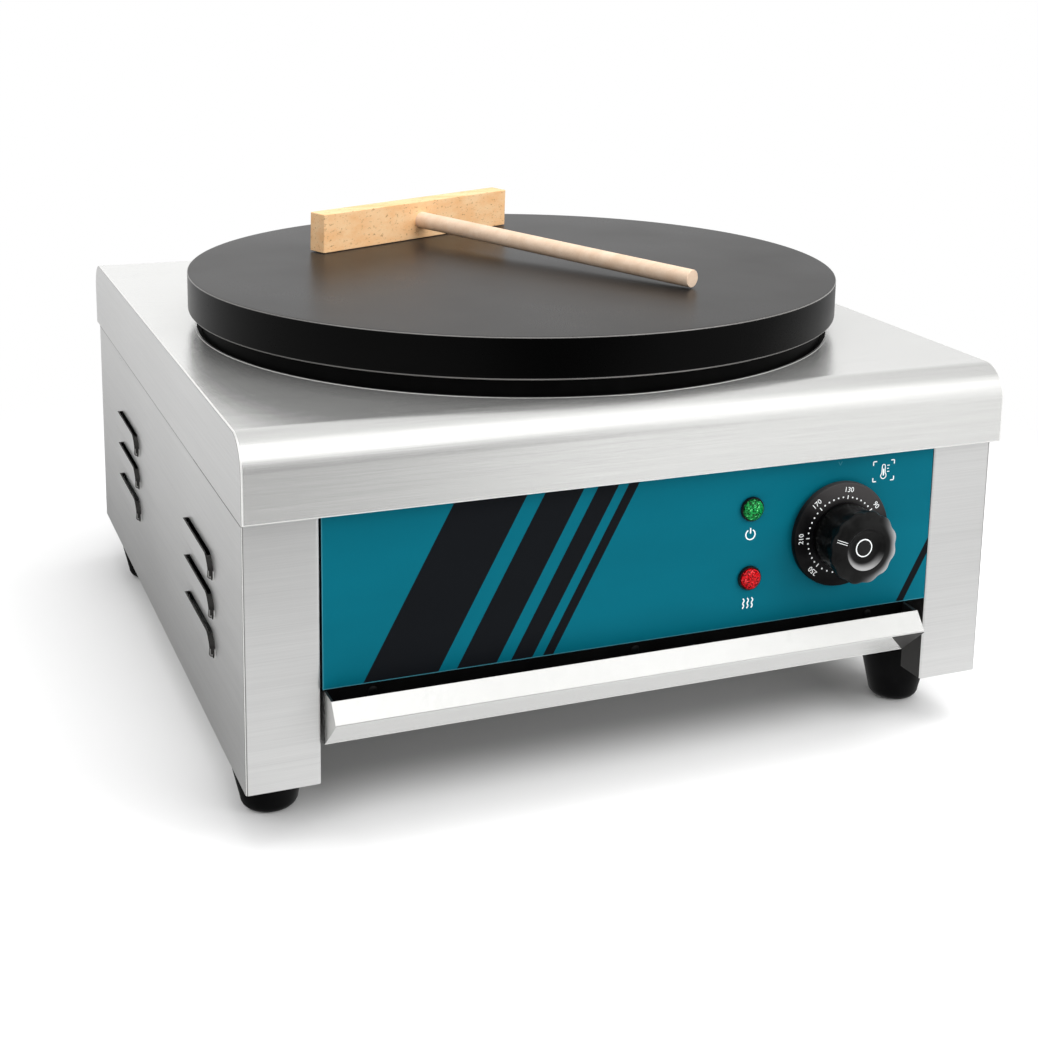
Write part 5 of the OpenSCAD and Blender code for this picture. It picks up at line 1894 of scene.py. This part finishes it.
@dataclass
class Studio:
    """A pale floor, a room of soft light and the camera.

    The eye's place is in millimetres. The floor's patches and the lamps are in metres.
    """

    floor_size: float = 6.0
    floor_grey: float = 0.96
    # The painted shadow under the object: its share of the floor's grey, then its extent across, at the front
    # and at the back
    under: float = 0.38
    painted_shadow_side: Pair = (0.16, 0.22)
    painted_shadow_front: Pair = (-0.21, -0.145)
    painted_shadow_back: Pair = (0.15, 0.22)
    fade: Pair = (0.32, 0.72)
    gloss_share: float = 0.9
    light: float = 0.85
    dark_spot: tuple[float, float, float] = (-0.15, -0.9, 0.0)
    dark_way: tuple[float, float, float] = (-0.1, -0.995, 0.0)
    focal: float = 1755.8
    tilt: float = 0.2075
    roll: float = 0.0237
    pan: float = 0.4182
    facing: float = 0.4595
    eye: tuple[float, float, float] = (-389.7, -1029.0, 459.2)
    middle: Pair = (600.0, 300.0)
    picture: float = 1038.0
    sensor: float = 36.0
    lamps: tuple[tuple[str, Point, Pair, float], ...] = (
        ("overhead", (0.25, -0.3, 1.8), (1.7, 1.4), 18), ("right", (1.0, -1.4, 0.9), (0.8, 1.2), 15),
        ("left", (-1.0, -1.3, 1.3), (1.0, 1.0), 7))

    def _floor_gloss(self, shader: Shader, where: Value, across: Value, depth: Value) -> Value:
        """Works out how bright gloss sees the floor.

        Args:
            shader: The floor's material.
            where: A point's place on the floor.
            across: Its x.
            depth: Its y.

        Returns:
            The brightness.
        """
        left, ahead = across * -1, depth * -1
        clear = shader.vector("DISTANCE", where, self.dark_spot).rise(0.12, 0.42)
        beside = (1 - left.rise(0.2, 0.42)) * left.rise(0.17, 0.22) * depth.rise(-0.35, -0.1)
        near = depth.rise(-0.4, -0.28) * (1 - beside)
        far = ahead.rise(1.0, 1.25) * (1 - across.rise(0.5, 0.9))
        level = (0.1 + clear * 0.78 - across.rise(0.25, 0.55) * 0.16 - beside * 0.5 + near * 0.16
                 - depth.rise(-0.75, -0.5) * 0.3)
        return level * (1 - far * 0.97)

    def _floor(self) -> None:
        """Lays the floor with a painted shadow under the object, and fades it into the background."""
        clear_selection()
        bpy.ops.mesh.primitive_plane_add(size=self.floor_size)
        floor = bpy.context.object
        floor.name = "studio_floor"
        shader = Shader("floor_white")
        where = shader.place()
        across, depth = (shader.node("ShaderNodeSeparateXYZ", {}, {"Vector": where}, axis) for axis in "XY")
        # Mask of the painted shadow under the object
        inner, outer = self.painted_shadow_side
        under = (across.rise(-outer, -inner) * (1 - across.rise(inner, outer)) * depth.rise(*self.painted_shadow_front)
                 * (1 - depth.rise(*self.painted_shadow_back)))
        grey = self.floor_grey
        shader.set(
            Base_Color=shader.mix(under, (grey,) * 3, (grey * self.under,) * 3), Roughness=0.9,
            Specular_IOR_Level=0.0)
        path = shader.tree.nodes.new("ShaderNodeLightPath")
        seen, gloss = (Value(shader, path.outputs[name]) for name in ("Is Camera Ray", "Is Glossy Ray"))
        away = shader.vector("LENGTH", where).rise(*self.fade)
        white = shader.node("ShaderNodeEmission", {}, {"Color": (1, 1, 1, 1)})
        level = self._floor_gloss(shader, where, across, depth)
        dim = shader.node("ShaderNodeEmission", {}, {"Strength": level})
        lit = Value(shader, shader.surface.outputs[0])
        shown = shader.node("ShaderNodeMixShader", {}, {0: gloss * self.gloss_share, 1: lit, 2: dim})
        faded = shader.node("ShaderNodeMixShader", {}, {0: away * seen, 1: shown, 2: white})
        shader.finish(faded, "Material Output")
        floor.data.materials.append(shader.material)

    def _room(self) -> None:
        """Makes the background white for the camera, and lights the object evenly, more from above.

        Reflections see a brighter band high behind the camera, dimmer sides and a dark patch low in front of
        the object.
        """
        world = bpy.data.worlds.new("room")
        bpy.context.scene.world = world
        world.use_nodes = True
        wiring = Wiring(world.node_tree)
        way = wiring.node("ShaderNodeTexCoord", {}, {}, "Generated")
        height = wiring.node("ShaderNodeSeparateXYZ", {}, {"Vector": way}, "Z")
        ahead = (math.sin(self.facing), math.cos(self.facing), 0)
        behind = wiring.vector("DOT_PRODUCT", way, [-a for a in ahead])
        right = wiring.node("ShaderNodeSeparateXYZ", {}, {"Vector": way}, "X")
        above = behind.rise(-0.1, 0.25) * (1 - behind.rise(0.65, 0.95)) * height.rise(0.2, 0.6)
        path = wiring.tree.nodes.new("ShaderNodeLightPath")
        gloss = Value(wiring, path.outputs["Is Glossy Ray"])
        spot = wiring.vector("DOT_PRODUCT", way, self.dark_way)
        shade = spot.rise(0.8, 0.97) * (1 - height.rise(0.3, 0.6)) * 0.85
        ceiling = 1.08 - (1 - above) * height.rise(0.35, 0.55) * 0.4 + above * 0.45
        left = right * -1
        level = ceiling * (1 - right.rise(0.1, 0.7) * 0.2) * (1 - left.rise(0.0, 0.3) * 0.2) * (1 - shade)
        flat = (height.rise(-0.1, 0.6) * 0.5 + 0.5) * self.light
        strength = wiring.node("ShaderNodeMix", {}, {0: gloss, 2: flat, 3: level})
        room = wiring.node("ShaderNodeBackground", {}, {"Color": (1, 1, 1, 1), "Strength": strength})
        white = wiring.node("ShaderNodeBackground", {}, {"Color": (1, 1, 1, 1), "Strength": 1.0})
        seen = Value(wiring, path.outputs["Is Camera Ray"])
        wiring.finish(wiring.node("ShaderNodeMixShader", {}, {0: seen, 1: room, 2: white}), "World Output")

    def _lamp(self, name: str, at: Point, size: Pair, watts: float) -> None:
        """Hangs a softbox that faces the object. Reflections don't show it.

        Args:
            name: The lamp's name.
            at: Its place in metres.
            size: Its width and height in metres.
            watts: Its power.
        """
        light = bpy.data.lights.new(name, "AREA")
        light.shape, light.size, light.size_y, light.energy = "RECTANGLE", size[0], size[1], watts
        lamp = bpy.data.objects.new(name, light)
        bpy.context.collection.objects.link(lamp)
        lamp.location = at
        lamp.rotation_euler = (Vector((0, 0, 0.12)) - Vector(at)).to_track_quat("-Z", "Y").to_euler()
        lamp.visible_glossy = False

    def _camera(self) -> None:
        """Sets up the camera."""
        right = Vector((math.cos(self.pan), -math.sin(self.pan), 0))
        ahead = Vector((math.sin(self.pan) * math.cos(self.tilt), math.cos(self.pan) * math.cos(self.tilt),
                        -math.sin(self.tilt)))
        up = right.cross(ahead)
        across = right * math.cos(self.roll) + up * math.sin(self.roll)
        above = up * math.cos(self.roll) - right * math.sin(self.roll)
        data = bpy.data.cameras.new("camera")
        data.sensor_width = self.sensor
        data.lens = self.focal / self.picture * self.sensor
        data.shift_x = (self.picture / 2 - self.middle[0]) / self.picture
        data.shift_y = (self.middle[1] - self.picture / 2) / self.picture
        data.clip_start, data.clip_end = 0.01, 50
        camera = bpy.data.objects.new("camera", data)
        bpy.context.collection.objects.link(camera)
        turned = Matrix((across, above, -ahead)).transposed().to_4x4()
        camera.matrix_world = Matrix.Translation(Vector(self.eye) * MM) @ turned
        bpy.context.scene.camera = camera

    def build(self) -> None:
        """Sets up the floor, the room, the lamps and the camera."""
        self._floor()
        self._room()
        for name, at, size, watts in self.lamps:
            self._lamp(name, at, size, watts)
        self._camera()
        bpy.context.scene.view_settings.view_transform = "Standard"


def main() -> None:
    """Builds and dresses everything."""
    logging.basicConfig(level=logging.INFO, format="%(message)s")
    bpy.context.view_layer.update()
    for assembly in (
        Cover(), SidePanels(), RearPanel(), Panel(), Lamp("power_lamp", "green_lens", GREEN),
        Lamp("heat_lamp", "red_lens", RED), Dial(), CookingPlate(), DrawerFront(), Feet(), Spreader(),
        InnerParts(), Studio(),
    ):
        log.info("-- %s", type(assembly).__name__)
        assembly.build()


if __name__ == "__main__":
    main()
